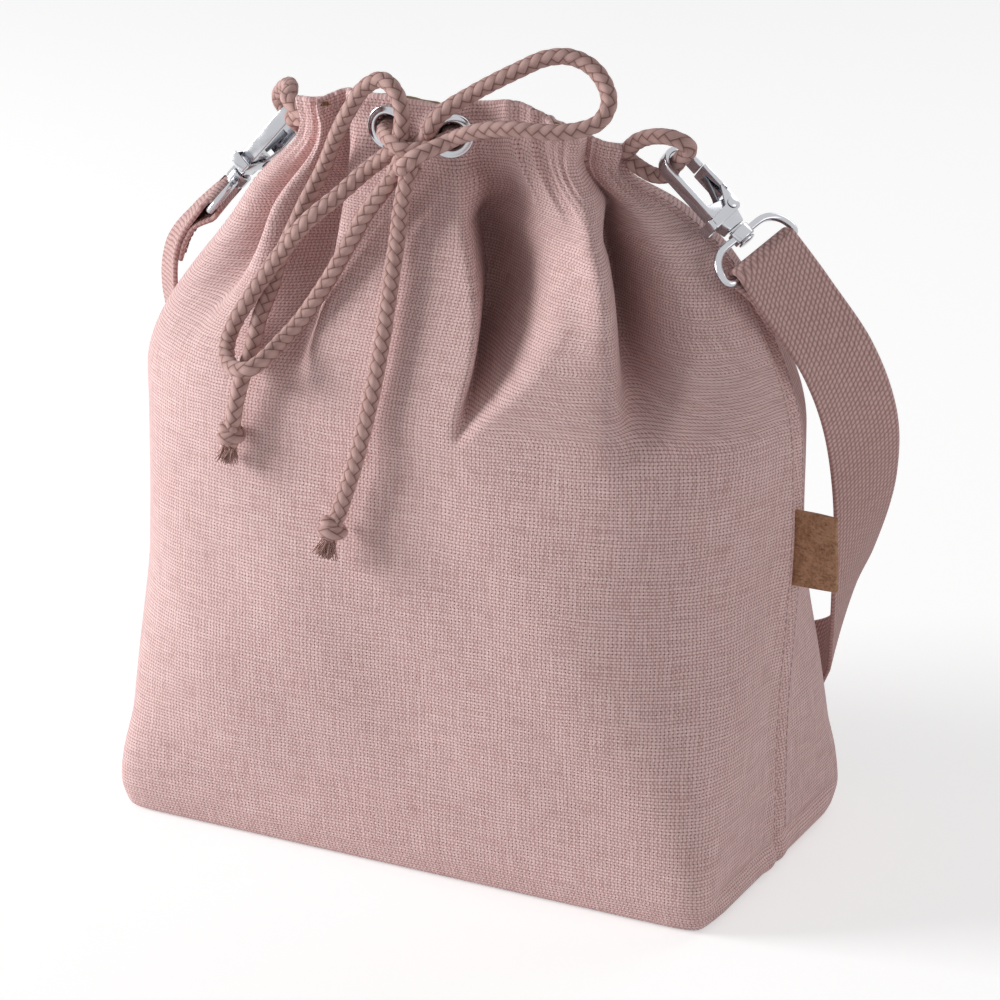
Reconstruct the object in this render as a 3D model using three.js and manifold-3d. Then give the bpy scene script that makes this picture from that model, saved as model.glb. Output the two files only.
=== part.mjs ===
// Insulated drawstring lunch bag with a clip-on shoulder strap.
// Millimetres, +Z up, +X to the wearer's right of the front face, -Y is the front.
// The origin is the middle of the base, on the surface that the bag stands on.

import * as THREE from 'three';
import { mergeVertices } from 'three/addons/utils/BufferGeometryUtils.js';
import Module from 'manifold-3d';

const wasm = await Module();
wasm.setup();

// Bag outline: full width (X), full depth (Y) and height of each level
const baseWidth = 238;
const baseDepth = 125;
const skirtHeight = 12;
const skirtWidth = 243;
const skirtDepth = 132;
const heelHeight = 40;
const heelWidth = 242;
const heelDepth = 135;
const waistHeight = 100;
const waistWidth = 246;
const waistDepth = 138;
const shoulderHeight = 165;
const shoulderWidth = 253;
const shoulderDepth = 129;
const neckWidth = 189;
const neckDepth = 74;
const mouthHeight = 265;
const neckDrop = 38;
const neckHeight = mouthHeight - neckDrop;
const mouthWidth = 130;
const mouthDepth = 42;
const lipRise = 11;
const lipFlare = 2;
const shoulderShift = -3.4;
const neckShift = 5.6;
const mouthShift = -10;
const backDrop = 17;
const backRise = 7;
const settleDepth = 25;
const settleSpan = 36;

// Cloth layers
const canvasThick = 1.2;
const foamThick = 3;
const linerThick = 0.6;
const facingThick = 0.8;
const panelWidth = 356;
const pillarWidth = 46;
const foamTop = 188;
const linerDrop = 20;
const bottomLap = 12;
const seamGap = 0.3;
const layerGap = 0.7;

// Eyelets and drawstring
const eyeletSpacing = 25;
const eyeletOffset = -2.7;
const eyeletFlangeRadius = 8;
const eyeletHoleRadius = 4.7;
const eyeletWall = 0.6;
const eyeletFlangeThick = 0.8;
const eyeletRimRadius = 6.4;
const washerThick = 0.6;
const cordDiameter = 6;
const cordSides = 8;
const channelInset = 3;
const facingDrop = 9;
const tailKnotRadius = 5.2;
const tailKnotLength = 19;

// Side tag
const tagReach = 15;
const tagHeight = 30;
const tagThick = 1.6;
const tagMiddle = 125;

// Strap and hooks
const strapWidth = 30;
const strapThick = 2;
const strapLap = 24;
const ringWire = 2.8;
const ringDepth = 13.4;
const ringInside = 33;
const ringShoulder = 9;
const ringCorner = 2.2;
const collarRadius = 4.2;
const collarHeight = 4.4;
const postRadius = 2.2;
const postHeadRadius = 3.4;
const postHeadThick = 1.2;
const hookLength = 36.7;
const hookHalfWidth = 6.8;
const hookStrip = 2;
const hookDepth = 5.5;
const hookFootHeight = 11;
const noseDrop = 5;
const rivetRadius = 1.3;
const rivetHeadRadius = 2.1;
const rivetHeadThick = 0.7;
const rivetHeight = 8;
const rivetSide = 3.6;
const cheekThick = 0.8;
const cheekRadius = 2.9;
const tabReach = 9.2;
const tabHeight = 4.2;
const springThick = 0.4;
const springWidth = 2.6;
const runningGap = 0.3;

// Cloth folds below the drawn mouth: place across the panel, half width, depth, height where the
// fold starts, length over which it deepens, and how that start climbs across the panel
const frontFolds = [
  { at: 44, half: 21, depth: 13, foot: 178, rise: 38, climb: 0.95 },
  { at: 104, half: 17, depth: 12, foot: 158, rise: 70, climb: 0 },
  { at: 76, half: 16, depth: -5, foot: 190, rise: 40, climb: 0 },
  { at: -48, half: 20, depth: 9, foot: 175, rise: 36, climb: -0.75 },
  { at: -108, half: 18, depth: 9, foot: 185, rise: 55, climb: 0 },
  { at: -80, half: 14, depth: -4, foot: 200, rise: 40, climb: 0 },
];
const backFolds = [-120, -62, 0, 58, 115].map((at) => (
  { at, half: 18, depth: 10, foot: 178, rise: 60, climb: 0 }
));
const foldEaseStart = 200;
const foldEase = 0.6;
const gatherStart = 150;
const seamEase = 12;

// Places near the mouth are written with their height above it
function fromMouth(points) {
  return points.map(([x, y, z]) => [x, y, z + mouthHeight]);
}

// Cord routes chosen by hand: bow loops, tails and the two sewn loops that take the hooks
const bowLoopRight = fromMouth([
  [-3.5, -33.5, 4.5], [1.6, -31, 11.8], [10, -26.5, 18], [18, -23.5, 23], [26, -20, 27.5],
  [34, -16.5, 31.5], [42, -14, 32.5], [50, -13.5, 30], [56, -15, 25], [59.5, -18.5, 19],
  [58, -23.5, 13.5], [50, -28, 10.5], [40, -31, 9.8], [31, -32.5, 10], [21, -33, 8.8], [12, -33.5, 6],
  [4, -33, 2],
]);
const bowLoopLeft = fromMouth([
  [-13.5, -32.5, -0.5], [-21, -32, -6.8], [-28, -33, -12.7], [-35.6, -38.3, -20.6],
  [-45.2, -44.6, -30], [-53.7, -45.9, -40.7], [-60.8, -48.4, -51.2], [-65.6, -52.2, -60],
  [-69.4, -54.8, -67.5], [-70.9, -58.3, -75], [-64.8, -67, -79.7], [-55.3, -70.2, -78.9],
  [-51.5, -66, -75.8], [-48.9, -57.6, -71.1], [-44.9, -52.8, -65.5], [-36, -46.5, -50],
  [-30, -42.5, -37.5], [-24, -38.5, -25], [-17.2, -35.2, -14.5], [-13.6, -32.6, -6],
]);
const tailShort = fromMouth([
  [-13.5, -34, 1.5], [-13, -33.3, 10], [-16.5, -31.5, 17.3], [-23, -29.5, 20.3], [-30, -29.5, 16.5],
  [-36, -29.5, 8], [-41.5, -28, -1], [-48.5, -27, -16], [-53, -31.2, -27], [-56.2, -35.6, -36.8],
  [-59.4, -39.8, -47], [-60.9, -43.7, -57], [-61.7, -50.7, -65.9], [-61, -57.5, -75],
  [-61.5, -63.5, -84], [-63.3, -65.8, -93.5], [-64.7, -66.2, -102],
]);
const tailLong = fromMouth([
  [-8.6, -36, -7], [-9.8, -37.5, -15], [-11, -38.2, -22], [-11.4, -40.3, -32.5], [-10.7, -45.5, -43.5],
  [-9.6, -51.5, -54.5], [-8.6, -57.5, -65.5], [-8.6, -64, -80], [-10.8, -67.7, -95.4],
  [-14.4, -69.5, -110.5], [-17.7, -71, -122], [-19.1, -72.7, -127.8],
]);
const hookLoopRight = fromMouth([
  [58, -0.6, -2.5], [63.5, -3.5, 2.6], [71.5, -6, 6], [79, -6.6, 6.3], [83.4, -5, 3.8], [82.3, -2.7, 0.9],
  [79.5, -1.4, -1.8], [76.9, 0, -4.5], [74.4, 1.4, -7.3], [71.2, 2.4, -10.2], [67.2, 2, -10.4],
  [63.4, 1, -8.6],
]);
const hookLoopLeft = fromMouth([
  [-78.8, 2, -1.2], [-80.6, 6.5, 1], [-84.5, 13, 1], [-90.5, 19, -2], [-94.6, 22.5, -7],
  [-93.8, 23.8, -10.6], [-90, 24.5, -13.8], [-86.6, 24.9, -16.8], [-83, 23.4, -18.6], [-80.8, 18.5, -17.4],
  [-79.8, 11.5, -13.2], [-78.8, 4.5, -8.5],
]);

// Hook places: swivel hub, direction from the hub to the eye, side of the gate and line of the ring's bar
const [hubRight, hubLeft] = fromMouth([[100.2, 0, -25.3], [-109.3, 19.5, -37]]);
const hooks = {
  right: {
    hub: hubRight,
    eye: [-0.747, 0, 0.665],
    gate: [0.227, 0.94, 0.255],
    bar: [0.31, 0.884, 0.35],
  },
  left: {
    hub: hubLeft,
    eye: [0.633, 0.166, 0.759],
    gate: [0.016, 0.975, -0.223],
    bar: [-0.282, 0.959, 0.028],
  },
};

// Strap route between the two ring bars: middle of the webbing, its height as a share of the mouth's,
// then the line across it
const strapRoute = [
  [121.9, 6, 0.8113, 0.4, 0.86, 0.3], [133.5, 14, 0.7291, 0.5, 0.83, 0.12],
  [138.6, 24, 0.6362, 0.53, 0.84, 0], [136, 38, 0.5208, 0.42, 0.89, 0.12],
  [125.6, 55, 0.3706, 0.16, 0.89, 0.42], [118.2, 66, 0.2977, 0.02, 0.8, 0.6],
  [110, 77.5, 0.2245, -0.06, 0.68, 0.73], [98, 86.5, 0.1736, 0, 0.5, 0.86],
  [55, 90, 0.1321, 0, 0.33, 0.94], [0, 91, 0.117, 0, 0.3, 0.95], [-55, 90, 0.1321, 0, 0.33, 0.94],
  [-100, 86, 0.1774, 0, 0.5, 0.86], [-121, 73, 0.2528, -0.02, 0.72, 0.69],
  [-134, 55, 0.3698, -0.16, 0.87, 0.45], [-143, 40, 0.4981, -0.38, 0.9, 0.15],
  [-145, 29.5, 0.6038, -0.5, 0.86, 0.05], [-137, 20.5, 0.7057, -0.42, 0.88, 0.12],
  [-127, 17, 0.7774, -0.3, 0.94, 0.1],
].map(([x, y, share, ...across]) => [x, y, share * mouthHeight, ...across]);

const part = new THREE.Group();

// Small helpers

function smoothStep(t) {
  const x = Math.min(1, Math.max(0, t));
  return x * x * (3 - 2 * x);
}

function bell(t) {
  return Math.exp(-t * t);
}

// Smooth curve through points that never overshoots them
function gentleCurve(xs, ys) {
  const count = xs.length;
  const slopes = xs.slice(1).map((x, i) => (ys[i + 1] - ys[i]) / (x - xs[i]));
  const tangents = xs.map((_, i) => {
    if (i === 0) return slopes[0];
    if (i === count - 1) return slopes[count - 2];
    if (slopes[i - 1] * slopes[i] <= 0) return 0;
    return (2 * slopes[i - 1] * slopes[i]) / (slopes[i - 1] + slopes[i]);
  });
  return (x) => {
    let i = 0;
    while (i < count - 2 && x > xs[i + 1]) i += 1;
    const span = xs[i + 1] - xs[i];
    const t = Math.min(1, Math.max(0, (x - xs[i]) / span));
    const a = ys[i] * (1 + 2 * t) * (1 - t) * (1 - t) + tangents[i] * span * t * (1 - t) * (1 - t);
    const b = ys[i + 1] * t * t * (3 - 2 * t) - tangents[i + 1] * span * t * t * (1 - t);
    return a + b;
  };
}

function vector(list) {
  return new THREE.Vector3(list[0], list[1], list[2]);
}

function solidOf(geometry) {
  const plain = geometry.clone();
  plain.deleteAttribute('normal');
  if (plain.getAttribute('uv')) plain.deleteAttribute('uv');
  const merged = mergeVertices(plain, 1e-4);
  return new wasm.Manifold(new wasm.Mesh({
    numProp: 3,
    vertProperties: new Float32Array(merged.getAttribute('position').array),
    triVerts: new Uint32Array(merged.getIndex().array),
  }));
}

function geometryOf(solid) {
  const mesh = solid.getMesh();
  const geometry = new THREE.BufferGeometry();
  geometry.setAttribute('position', new THREE.BufferAttribute(new Float32Array(mesh.vertProperties), 3));
  geometry.setIndex(new THREE.BufferAttribute(new Uint32Array(mesh.triVerts), 1));
  return geometry;
}

// The tied mouth sinks behind the eyelets, most of all at the back, and towards both ends
function settledHeight(x, y, z) {
  const back = smoothStep((y + 16) / 34);
  const along = x - mouthShift;
  const end = smoothStep((Math.abs(along) - 28) / 36) * (along > 0 ? 0.55 : 0.25);
  const drop = (backDrop - backRise * back * bell((x - 12) / 14)) * (1 - (1 - back) * (1 - end));
  return z - drop * smoothStep((z - mouthHeight + settleDepth) / settleSpan);
}

function settled(geometry) {
  const place = geometry.getAttribute('position');
  for (let i = 0; i < place.count; i += 1) {
    place.setZ(i, settledHeight(place.getX(i), place.getY(i), place.getZ(i)));
  }
  return geometry;
}

function box(low, high) {
  const size = high.map((v, k) => v - low[k]);
  const middle = high.map((v, k) => (v + low[k]) / 2);
  return new THREE.BoxGeometry(...size).translate(...middle);
}

function addPiece(parent, name, geometry, material) {
  const mesh = new THREE.Mesh(geometry, material());
  mesh.name = name;
  parent.add(mesh);
  return mesh;
}

// Finishes
const canvas = () => new THREE.MeshStandardMaterial({ color: 0xc59d95, roughness: 0.9 });
const foam = () => new THREE.MeshStandardMaterial({ color: 0xe6e6e2, roughness: 0.95 });
const foil = () => new THREE.MeshStandardMaterial({ color: 0xc9ccd0, roughness: 0.35, metalness: 0.6 });
const facingCloth = () => new THREE.MeshStandardMaterial({ color: 0x9a7c5c, roughness: 0.9 });
const cordCloth = () => new THREE.MeshStandardMaterial({ color: 0xa77f78, roughness: 0.85 });
const webbing = () => new THREE.MeshStandardMaterial({ color: 0x9c746f, roughness: 0.85 });
const nickel = () => new THREE.MeshStandardMaterial({ color: 0xc8c9cc, roughness: 0.2, metalness: 1 });
const springSteel = () => new THREE.MeshStandardMaterial({ color: 0x8d9095, roughness: 0.3, metalness: 1 });
const cork = () => new THREE.MeshStandardMaterial({ color: 0xa9713f, roughness: 0.8 });

// Bag surface

const levels = [0, skirtHeight, heelHeight, waistHeight, shoulderHeight, neckHeight, mouthHeight,
  mouthHeight + lipRise];
const halfWidthAt = gentleCurve(levels, [baseWidth, skirtWidth, heelWidth, waistWidth, shoulderWidth,
  neckWidth, mouthWidth, mouthWidth + lipFlare].map((w) => w / 2));
const halfDepthAt = gentleCurve(levels, [baseDepth, skirtDepth, heelDepth, waistDepth, shoulderDepth,
  neckDepth, mouthDepth, mouthDepth + lipFlare].map((d) => d / 2));
const squarenessAt = gentleCurve(levels, [26, 20, 8, 3.2, 2.5, 2.5, 3, 3]);
const leanAt = gentleCurve([0, shoulderHeight, neckHeight, mouthHeight],
  [0, shoulderShift, (shoulderShift * 2 + mouthShift) / 3, mouthShift]);
const shiftAt = (z) => leanAt(z) + neckShift
  * smoothStep((z - shoulderHeight) / (neckHeight - shoulderHeight))
  * (1 - smoothStep((z - neckHeight) / neckDrop));
const panelHalf = panelWidth / 2;
const pillarShare = pillarWidth / panelWidth;
const gatherAt = gentleCurve([-1, -pillarShare, pillarShare, 1], [0, 0.335, 0.64, 1]);
const sectionSteps = 600;

// Half of a level's outline from the left seam to the right one, with its running length
function halfOutline(halfWidth, halfDepth, squareness) {
  const points = [];
  let length = 0;
  for (let i = 0; i <= sectionSteps; i += 1) {
    const turn = (Math.PI * i) / sectionSteps;
    const x = -halfWidth * Math.sign(Math.cos(turn)) * Math.abs(Math.cos(turn)) ** (2 / squareness);
    const y = i % sectionSteps === 0 ? 0 : halfDepth * Math.sin(turn) ** (2 / squareness);
    if (i > 0) length += Math.hypot(x - points[i - 1].x, y - points[i - 1].y);
    points.push({ x, y, length });
  }
  return points;
}

function pointAlong(outline, length) {
  let low = 0;
  let high = outline.length - 1;
  while (high - low > 1) {
    const middle = (low + high) >> 1;
    if (outline[middle].length > length) high = middle;
    else low = middle;
  }
  const a = outline[low];
  const b = outline[high];
  const t = (length - a.length) / Math.max(1e-9, b.length - a.length);
  const span = Math.hypot(b.x - a.x, b.y - a.y);
  return {
    x: a.x + (b.x - a.x) * t,
    y: a.y + (b.y - a.y) * t,
    outX: -(b.y - a.y) / span,
    outY: (b.x - a.x) / span,
  };
}

function foldDepth(across, z, front) {
  const ease = 1 - foldEase * smoothStep((z - foldEaseStart) / (mouthHeight - foldEaseStart));
  let depth = 0;
  for (const fold of front ? frontFolds : backFolds) {
    const start = fold.foot + fold.climb * (across - fold.at);
    depth += fold.depth * bell((across - fold.at) / fold.half) * smoothStep((z - start) / fold.rise) * ease;
  }
  return depth * smoothStep((panelHalf - Math.abs(across)) / seamEase);
}

const outlineCache = new Map();

function outlineAt(z) {
  if (!outlineCache.has(z)) {
    outlineCache.set(z, halfOutline(halfWidthAt(z), halfDepthAt(z), squarenessAt(z)));
  }
  return outlineCache.get(z);
}

// A point of the outer cloth, and the level direction that points out of the bag there
function clothPoint(across, z, front) {
  const outline = outlineAt(z);
  const drawn = front ? smoothStep((z - gatherStart) / (mouthHeight - gatherStart)) : 0;
  const share = (across / panelHalf + 1) / 2;
  const along = share + (gatherAt(across / panelHalf) - share) * drawn;
  const at = pointAlong(outline, along * outline[sectionSteps].length);
  const depth = foldDepth(across, z, front);
  const side = front ? -1 : 1;
  return {
    x: at.x - at.outX * depth + shiftAt(z),
    y: side * (at.y - at.outY * depth),
    outX: at.outX,
    outY: side * at.outY,
  };
}

// A row of points at one height, set in from the cloth's facets by a distance square to them
function insetRow(z, front, inset, columns) {
  const reach = panelHalf - seamGap / 2;
  const step = 2;
  const row = [];
  for (let i = 0; i <= columns; i += 1) {
    const across = -reach + (2 * reach * i) / columns;
    const at = clothPoint(across, z, front);
    const above = clothPoint(across, z + step, front);
    const slope = ((above.x - at.x) * at.outX + (above.y - at.y) * at.outY) / step;
    row.push({ ...at, level: inset * Math.min(2, Math.hypot(1, slope)) });
  }
  const side = front ? -1 : 1;
  const facets = row.slice(1).map((p, i) => {
    const dx = p.x - row[i].x;
    const dy = p.y - row[i].y;
    const length = Math.hypot(dx, dy);
    return { x: (-side * dy) / length, y: (side * dx) / length };
  });
  return row.map((p, i) => {
    const left = facets[Math.max(0, i - 1)];
    const right = facets[Math.min(columns - 1, i)];
    const mitre = 1 / Math.max(0.6, 1 + left.x * right.x + left.y * right.y);
    return [
      p.x - (left.x + right.x) * mitre * p.level,
      i === 0 || i === columns ? p.y : p.y - (left.y + right.y) * mitre * p.level,
      z,
    ];
  });
}

// Closed sheet of cloth between two insets, over a list of heights
function clothSheet(front, heights, insetOuter, insetInner, columns) {
  const positions = [];
  const faces = [];
  for (const inset of [insetOuter, insetInner]) {
    for (const z of heights) positions.push(...insetRow(z, front, inset(z), columns).flat());
  }
  const wide = columns + 1;
  const layer = wide * heights.length;
  const quad = (a, b, c, d) => (front ? faces.push(a, b, c, a, c, d) : faces.push(a, c, b, a, d, c));
  for (let r = 0; r < heights.length - 1; r += 1) {
    for (let i = 0; i < columns; i += 1) {
      const o = r * wide + i;
      quad(o, o + 1, o + wide + 1, o + wide);
      quad(layer + o, layer + o + wide, layer + o + wide + 1, layer + o + 1);
    }
    const left = r * wide;
    const right = left + columns;
    quad(layer + left, left, left + wide, layer + left + wide);
    quad(right, layer + right, layer + right + wide, right + wide);
  }
  const topRow = (heights.length - 1) * wide;
  for (let i = 0; i < columns; i += 1) {
    quad(layer + i, layer + i + 1, i + 1, i);
    quad(topRow + i, topRow + i + 1, layer + topRow + i + 1, layer + topRow + i);
  }
  const geometry = new THREE.BufferGeometry();
  geometry.setAttribute('position', new THREE.Float32BufferAttribute(positions, 3));
  geometry.setIndex(faces);
  return geometry;
}

// Flat slab with the outline of the base, set in from the cloth's face
function baseSlab(z, thick, inset, columns) {
  const ring = [...insetRow(z, true, inset, columns), ...insetRow(z, false, inset, columns).reverse()]
    .map(([x, y]) => new THREE.Vector2(x, y));
  const bends = ring.filter((p, i) => {
    const last = ring[(i + ring.length - 1) % ring.length];
    const next = ring[(i + 1) % ring.length];
    const turn = next.clone().sub(p).normalize().cross(p.clone().sub(last).normalize());
    return Math.abs(turn) > 0.005;
  });
  const shape = new THREE.Shape(bends);
  return new THREE.ExtrudeGeometry(shape, { depth: thick, bevelEnabled: false }).translate(0, 0, z);
}

// Cloth panels: outer canvas, foam and foil liner

const panelColumns = 28;
const linerTop = mouthHeight - linerDrop;
const lowHeights = [skirtHeight, heelHeight, 60, 85, 110, 135, 155, 172, foamTop];
const highHeights = [0.281, 0.526, 0.772, 1].map((share) => foamTop + share * (linerTop - foamTop));
const canvasHeights = [0, ...lowHeights, ...highHeights, mouthHeight - facingDrop, mouthHeight,
  mouthHeight + lipRise];
const far = 400;
const lapReach = baseWidth / 2 - 20;

const eyeletHeight = mouthHeight + 0.8;
const eyeletMiddle = mouthShift + eyeletOffset;

// Across-panel place of the front cloth that has a given X at a height
function acrossAt(x, z) {
  let low = -panelHalf;
  let high = panelHalf;
  for (let i = 0; i < 50; i += 1) {
    const middle = (low + high) / 2;
    if (clothPoint(middle, z, true).x > x) high = middle;
    else low = middle;
  }
  return (low + high) / 2;
}

// Frame of an eyelet: the middle of its hole on the cloth's face, and its axis pointing out
function eyeletFrame(sign) {
  const x = eyeletMiddle + (sign * eyeletSpacing) / 2;
  const probe = eyeletFlangeRadius * 0.75;
  const at = (dx, dz) => {
    const z = eyeletHeight + dz;
    const point = clothPoint(acrossAt(x + dx, z), z, true);
    return new THREE.Vector3(x + dx, point.y, z);
  };
  const axis = new THREE.Vector3().crossVectors(
    at(probe, 0).sub(at(-probe, 0)),
    at(0, probe).sub(at(0, -probe)),
  ).normalize();
  return { middle: at(0, 0), axis };
}

const eyeletFrames = { left: eyeletFrame(-1), right: eyeletFrame(1) };

// Places a geometry whose own axis is +Y so that +Y runs along an eyelet's axis
function onEyelet(geometry, frame) {
  const turn = new THREE.Quaternion().setFromUnitVectors(new THREE.Vector3(0, 1, 0), frame.axis);
  return geometry.applyQuaternion(turn).translate(frame.middle.x, frame.middle.y, frame.middle.z);
}

function ringProfile(points, segments) {
  const profile = [...points, points[0]].reverse().map(([r, y]) => new THREE.Vector2(r, y));
  return new THREE.LatheGeometry(profile, segments);
}

const slab = solidOf(baseSlab(0, canvasThick, 0, panelColumns));
const lap = solidOf(box([-lapReach, -1, 0], [lapReach, bottomLap, canvasThick]));
const lapRoom = solidOf(box([-lapReach - seamGap, -1, -1], [lapReach + seamGap, bottomLap + seamGap, far]));
const frontHalf = solidOf(box([-far, -far, -1], [far, -seamGap / 2, far]));
const backHalf = solidOf(box([-far, seamGap / 2, -1], [far, far, far]));

const frontWall = solidOf(clothSheet(true, canvasHeights, () => 0, () => canvasThick, panelColumns));
const backWall = solidOf(clothSheet(false, canvasHeights, () => 0, () => canvasThick, panelColumns));
// Hole for an eyelet's barrel, with the cloth pressed flat under its flange and over its washer
const pressDepth = 3;
const holeRadius = eyeletHoleRadius + eyeletWall + runningGap;
const pressRadius = eyeletFlangeRadius + runningGap;
const disc = (radius, low, high) => new THREE.CylinderGeometry(radius, radius, high - low, 20)
  .translate(0, (low + high) / 2, 0);
let frontCanvas = frontWall.add(slab.intersect(frontHalf)).add(lap);
for (const frame of Object.values(eyeletFrames)) {
  const cuts = [
    disc(holeRadius, -pressDepth - canvasThick, pressDepth),
    disc(pressRadius, 0, pressDepth),
    disc(pressRadius, -pressDepth - canvasThick, -canvasThick),
  ];
  for (const cut of cuts) frontCanvas = frontCanvas.subtract(solidOf(onEyelet(cut, frame)));
}
const backCanvas = backWall.add(slab.intersect(backHalf).subtract(lapRoom));
addPiece(part, 'outer_front_panel', settled(geometryOf(frontCanvas)), canvas);
addPiece(part, 'outer_back_panel', settled(geometryOf(backCanvas)), canvas);

const layerColumns = panelColumns;
const foamInset = canvasThick + layerGap;
const foamFloor = canvasThick + layerGap;
const foamHeights = [foamFloor, ...lowHeights];
for (const [name, front] of [['foam_front', true], ['foam_back', false]]) {
  const sheet = clothSheet(front, foamHeights, () => foamInset, () => foamInset + foamThick, layerColumns);
  addPiece(part, name, sheet, foam);
}
const floorInset = foamInset + foamThick + layerGap;
addPiece(part, 'foam_base', baseSlab(foamFloor, foamThick, floorInset, layerColumns), foam);

const linerFloor = foamFloor + foamThick + layerGap;
const neckInset = canvasThick + 3 * layerGap;
const linerInset = gentleCurve(
  [0, skirtHeight, foamTop + 2, foamTop + 14, far],
  [floorInset + linerThick, floorInset, floorInset, neckInset, neckInset],
);
const linerHeights = [linerFloor, ...lowHeights, ...highHeights];
const linerBase = solidOf(baseSlab(linerFloor, linerThick, floorInset + linerThick, layerColumns));
for (const [name, front, half] of [['liner_front', true, frontHalf], ['liner_back', false, backHalf]]) {
  const wall = clothSheet(front, linerHeights, linerInset, (z) => linerInset(z) + linerThick, layerColumns);
  addPiece(part, name, geometryOf(solidOf(wall).add(linerBase.intersect(half))), foil);
}

// Drawstring channel: a ring of cord inside the mouth, and the hem strips that hold it in

const cordRadius = cordDiameter / 2;
const deepestFold = Math.max(...frontFolds.concat(backFolds).map((fold) => fold.depth)) * (1 - foldEase);
const ringHalfWidth = mouthWidth / 2 - canvasThick - channelInset - cordRadius;
const ringHalfDepth = mouthDepth / 2 - canvasThick - deepestFold - cordRadius - layerGap;
const ringSquareness = 3;

function facingStrip(front) {
  const outer = halfOutline(ringHalfWidth - cordRadius - layerGap, ringHalfDepth - cordRadius - layerGap, ringSquareness);
  const low = mouthHeight - facingDrop;
  const high = mouthHeight + facingDrop;
  const side = front ? -1 : 1;
  const shape = new THREE.Shape();
  const count = 20;
  const trim = 1;
  const edge = [];
  for (let i = 0; i <= count; i += 1) {
    const total = outer[sectionSteps].length;
    edge.push(pointAlong(outer, trim + ((total - 2 * trim) * i) / count));
  }
  const outerPoints = edge.map((p) => [p.x + mouthShift, side * p.y]);
  const innerPoints = edge.map((p) => [
    p.x - p.outX * facingThick + mouthShift,
    side * Math.max(seamGap, p.y - p.outY * facingThick),
  ]).reverse();
  outerPoints.concat(innerPoints).forEach(([x, y], i) => (i === 0 ? shape.moveTo(x, y) : shape.lineTo(x, y)));
  shape.closePath();
  return new THREE.ExtrudeGeometry(shape, { depth: high - low, bevelEnabled: false }).translate(0, 0, low);
}

addPiece(part, 'channel_facing_front', settled(facingStrip(true)), facingCloth);
addPiece(part, 'channel_facing_back', settled(facingStrip(false)), facingCloth);

// Eyelets: a flanged barrel from the front, rolled over a washer behind the canvas

const barrelRadius = eyeletHoleRadius + eyeletWall;
const washerBack = -(canvasThick + 2 * runningGap + washerThick);
const eyeletProfile = [
  [eyeletHoleRadius, runningGap + eyeletFlangeThick],
  [eyeletFlangeRadius, runningGap + eyeletFlangeThick * 0.6],
  [eyeletFlangeRadius, runningGap],
  [barrelRadius, runningGap],
  [barrelRadius, washerBack - runningGap],
  [eyeletRimRadius, washerBack - runningGap],
  [eyeletRimRadius, washerBack - runningGap - eyeletWall],
  [eyeletHoleRadius, washerBack - runningGap - eyeletWall],
];
const washerProfile = [
  [barrelRadius + runningGap, washerBack + washerThick],
  [eyeletFlangeRadius, washerBack + washerThick],
  [eyeletFlangeRadius, washerBack],
  [barrelRadius + runningGap, washerBack],
];
for (const [side, frame] of Object.entries(eyeletFrames)) {
  addPiece(part, `eyelet_${side}`, onEyelet(ringProfile(eyeletProfile, 20), frame), nickel);
  addPiece(part, `eyelet_washer_${side}`, onEyelet(ringProfile(washerProfile, 20), frame), nickel);
}

// Cords: a round tube along a smooth route

function cordTube(points, steps, sides = cordSides) {
  const curve = new THREE.CatmullRomCurve3(points.map(vector), false, 'centripetal');
  const shape = new THREE.Shape();
  for (let i = 0; i < sides; i += 1) {
    const turn = (2 * Math.PI * i) / sides;
    const x = cordRadius * Math.cos(turn);
    const y = cordRadius * Math.sin(turn);
    if (i === 0) shape.moveTo(x, y);
    else shape.lineTo(x, y);
  }
  shape.closePath();
  return new THREE.ExtrudeGeometry(shape, { steps, extrudePath: curve, bevelEnabled: false });
}

// The bow's knot, a rounded lump in front of the pillar between the eyelets
const knotMiddle = [eyeletMiddle + 3.2, -32.5, eyeletHeight - 1.8];
const knotRadii = [10.5, 7, 8];
const knotLump = (grow) => new THREE.SphereGeometry(1, 14, 9)
  .scale(...knotRadii.map((r) => r + grow))
  .translate(...knotMiddle);
addPiece(part, 'bow_knot', knotLump(0), cordCloth);
const knotRoom = solidOf(knotLump(runningGap));

function knottedCord(name, points, steps) {
  const tube = solidOf(cordTube(points, steps)).subtract(knotRoom);
  const pieces = tube.decompose().sort((a, b) => b.volume() - a.volume());
  addPiece(part, name, geometryOf(pieces[0]), cordCloth);
}

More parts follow.
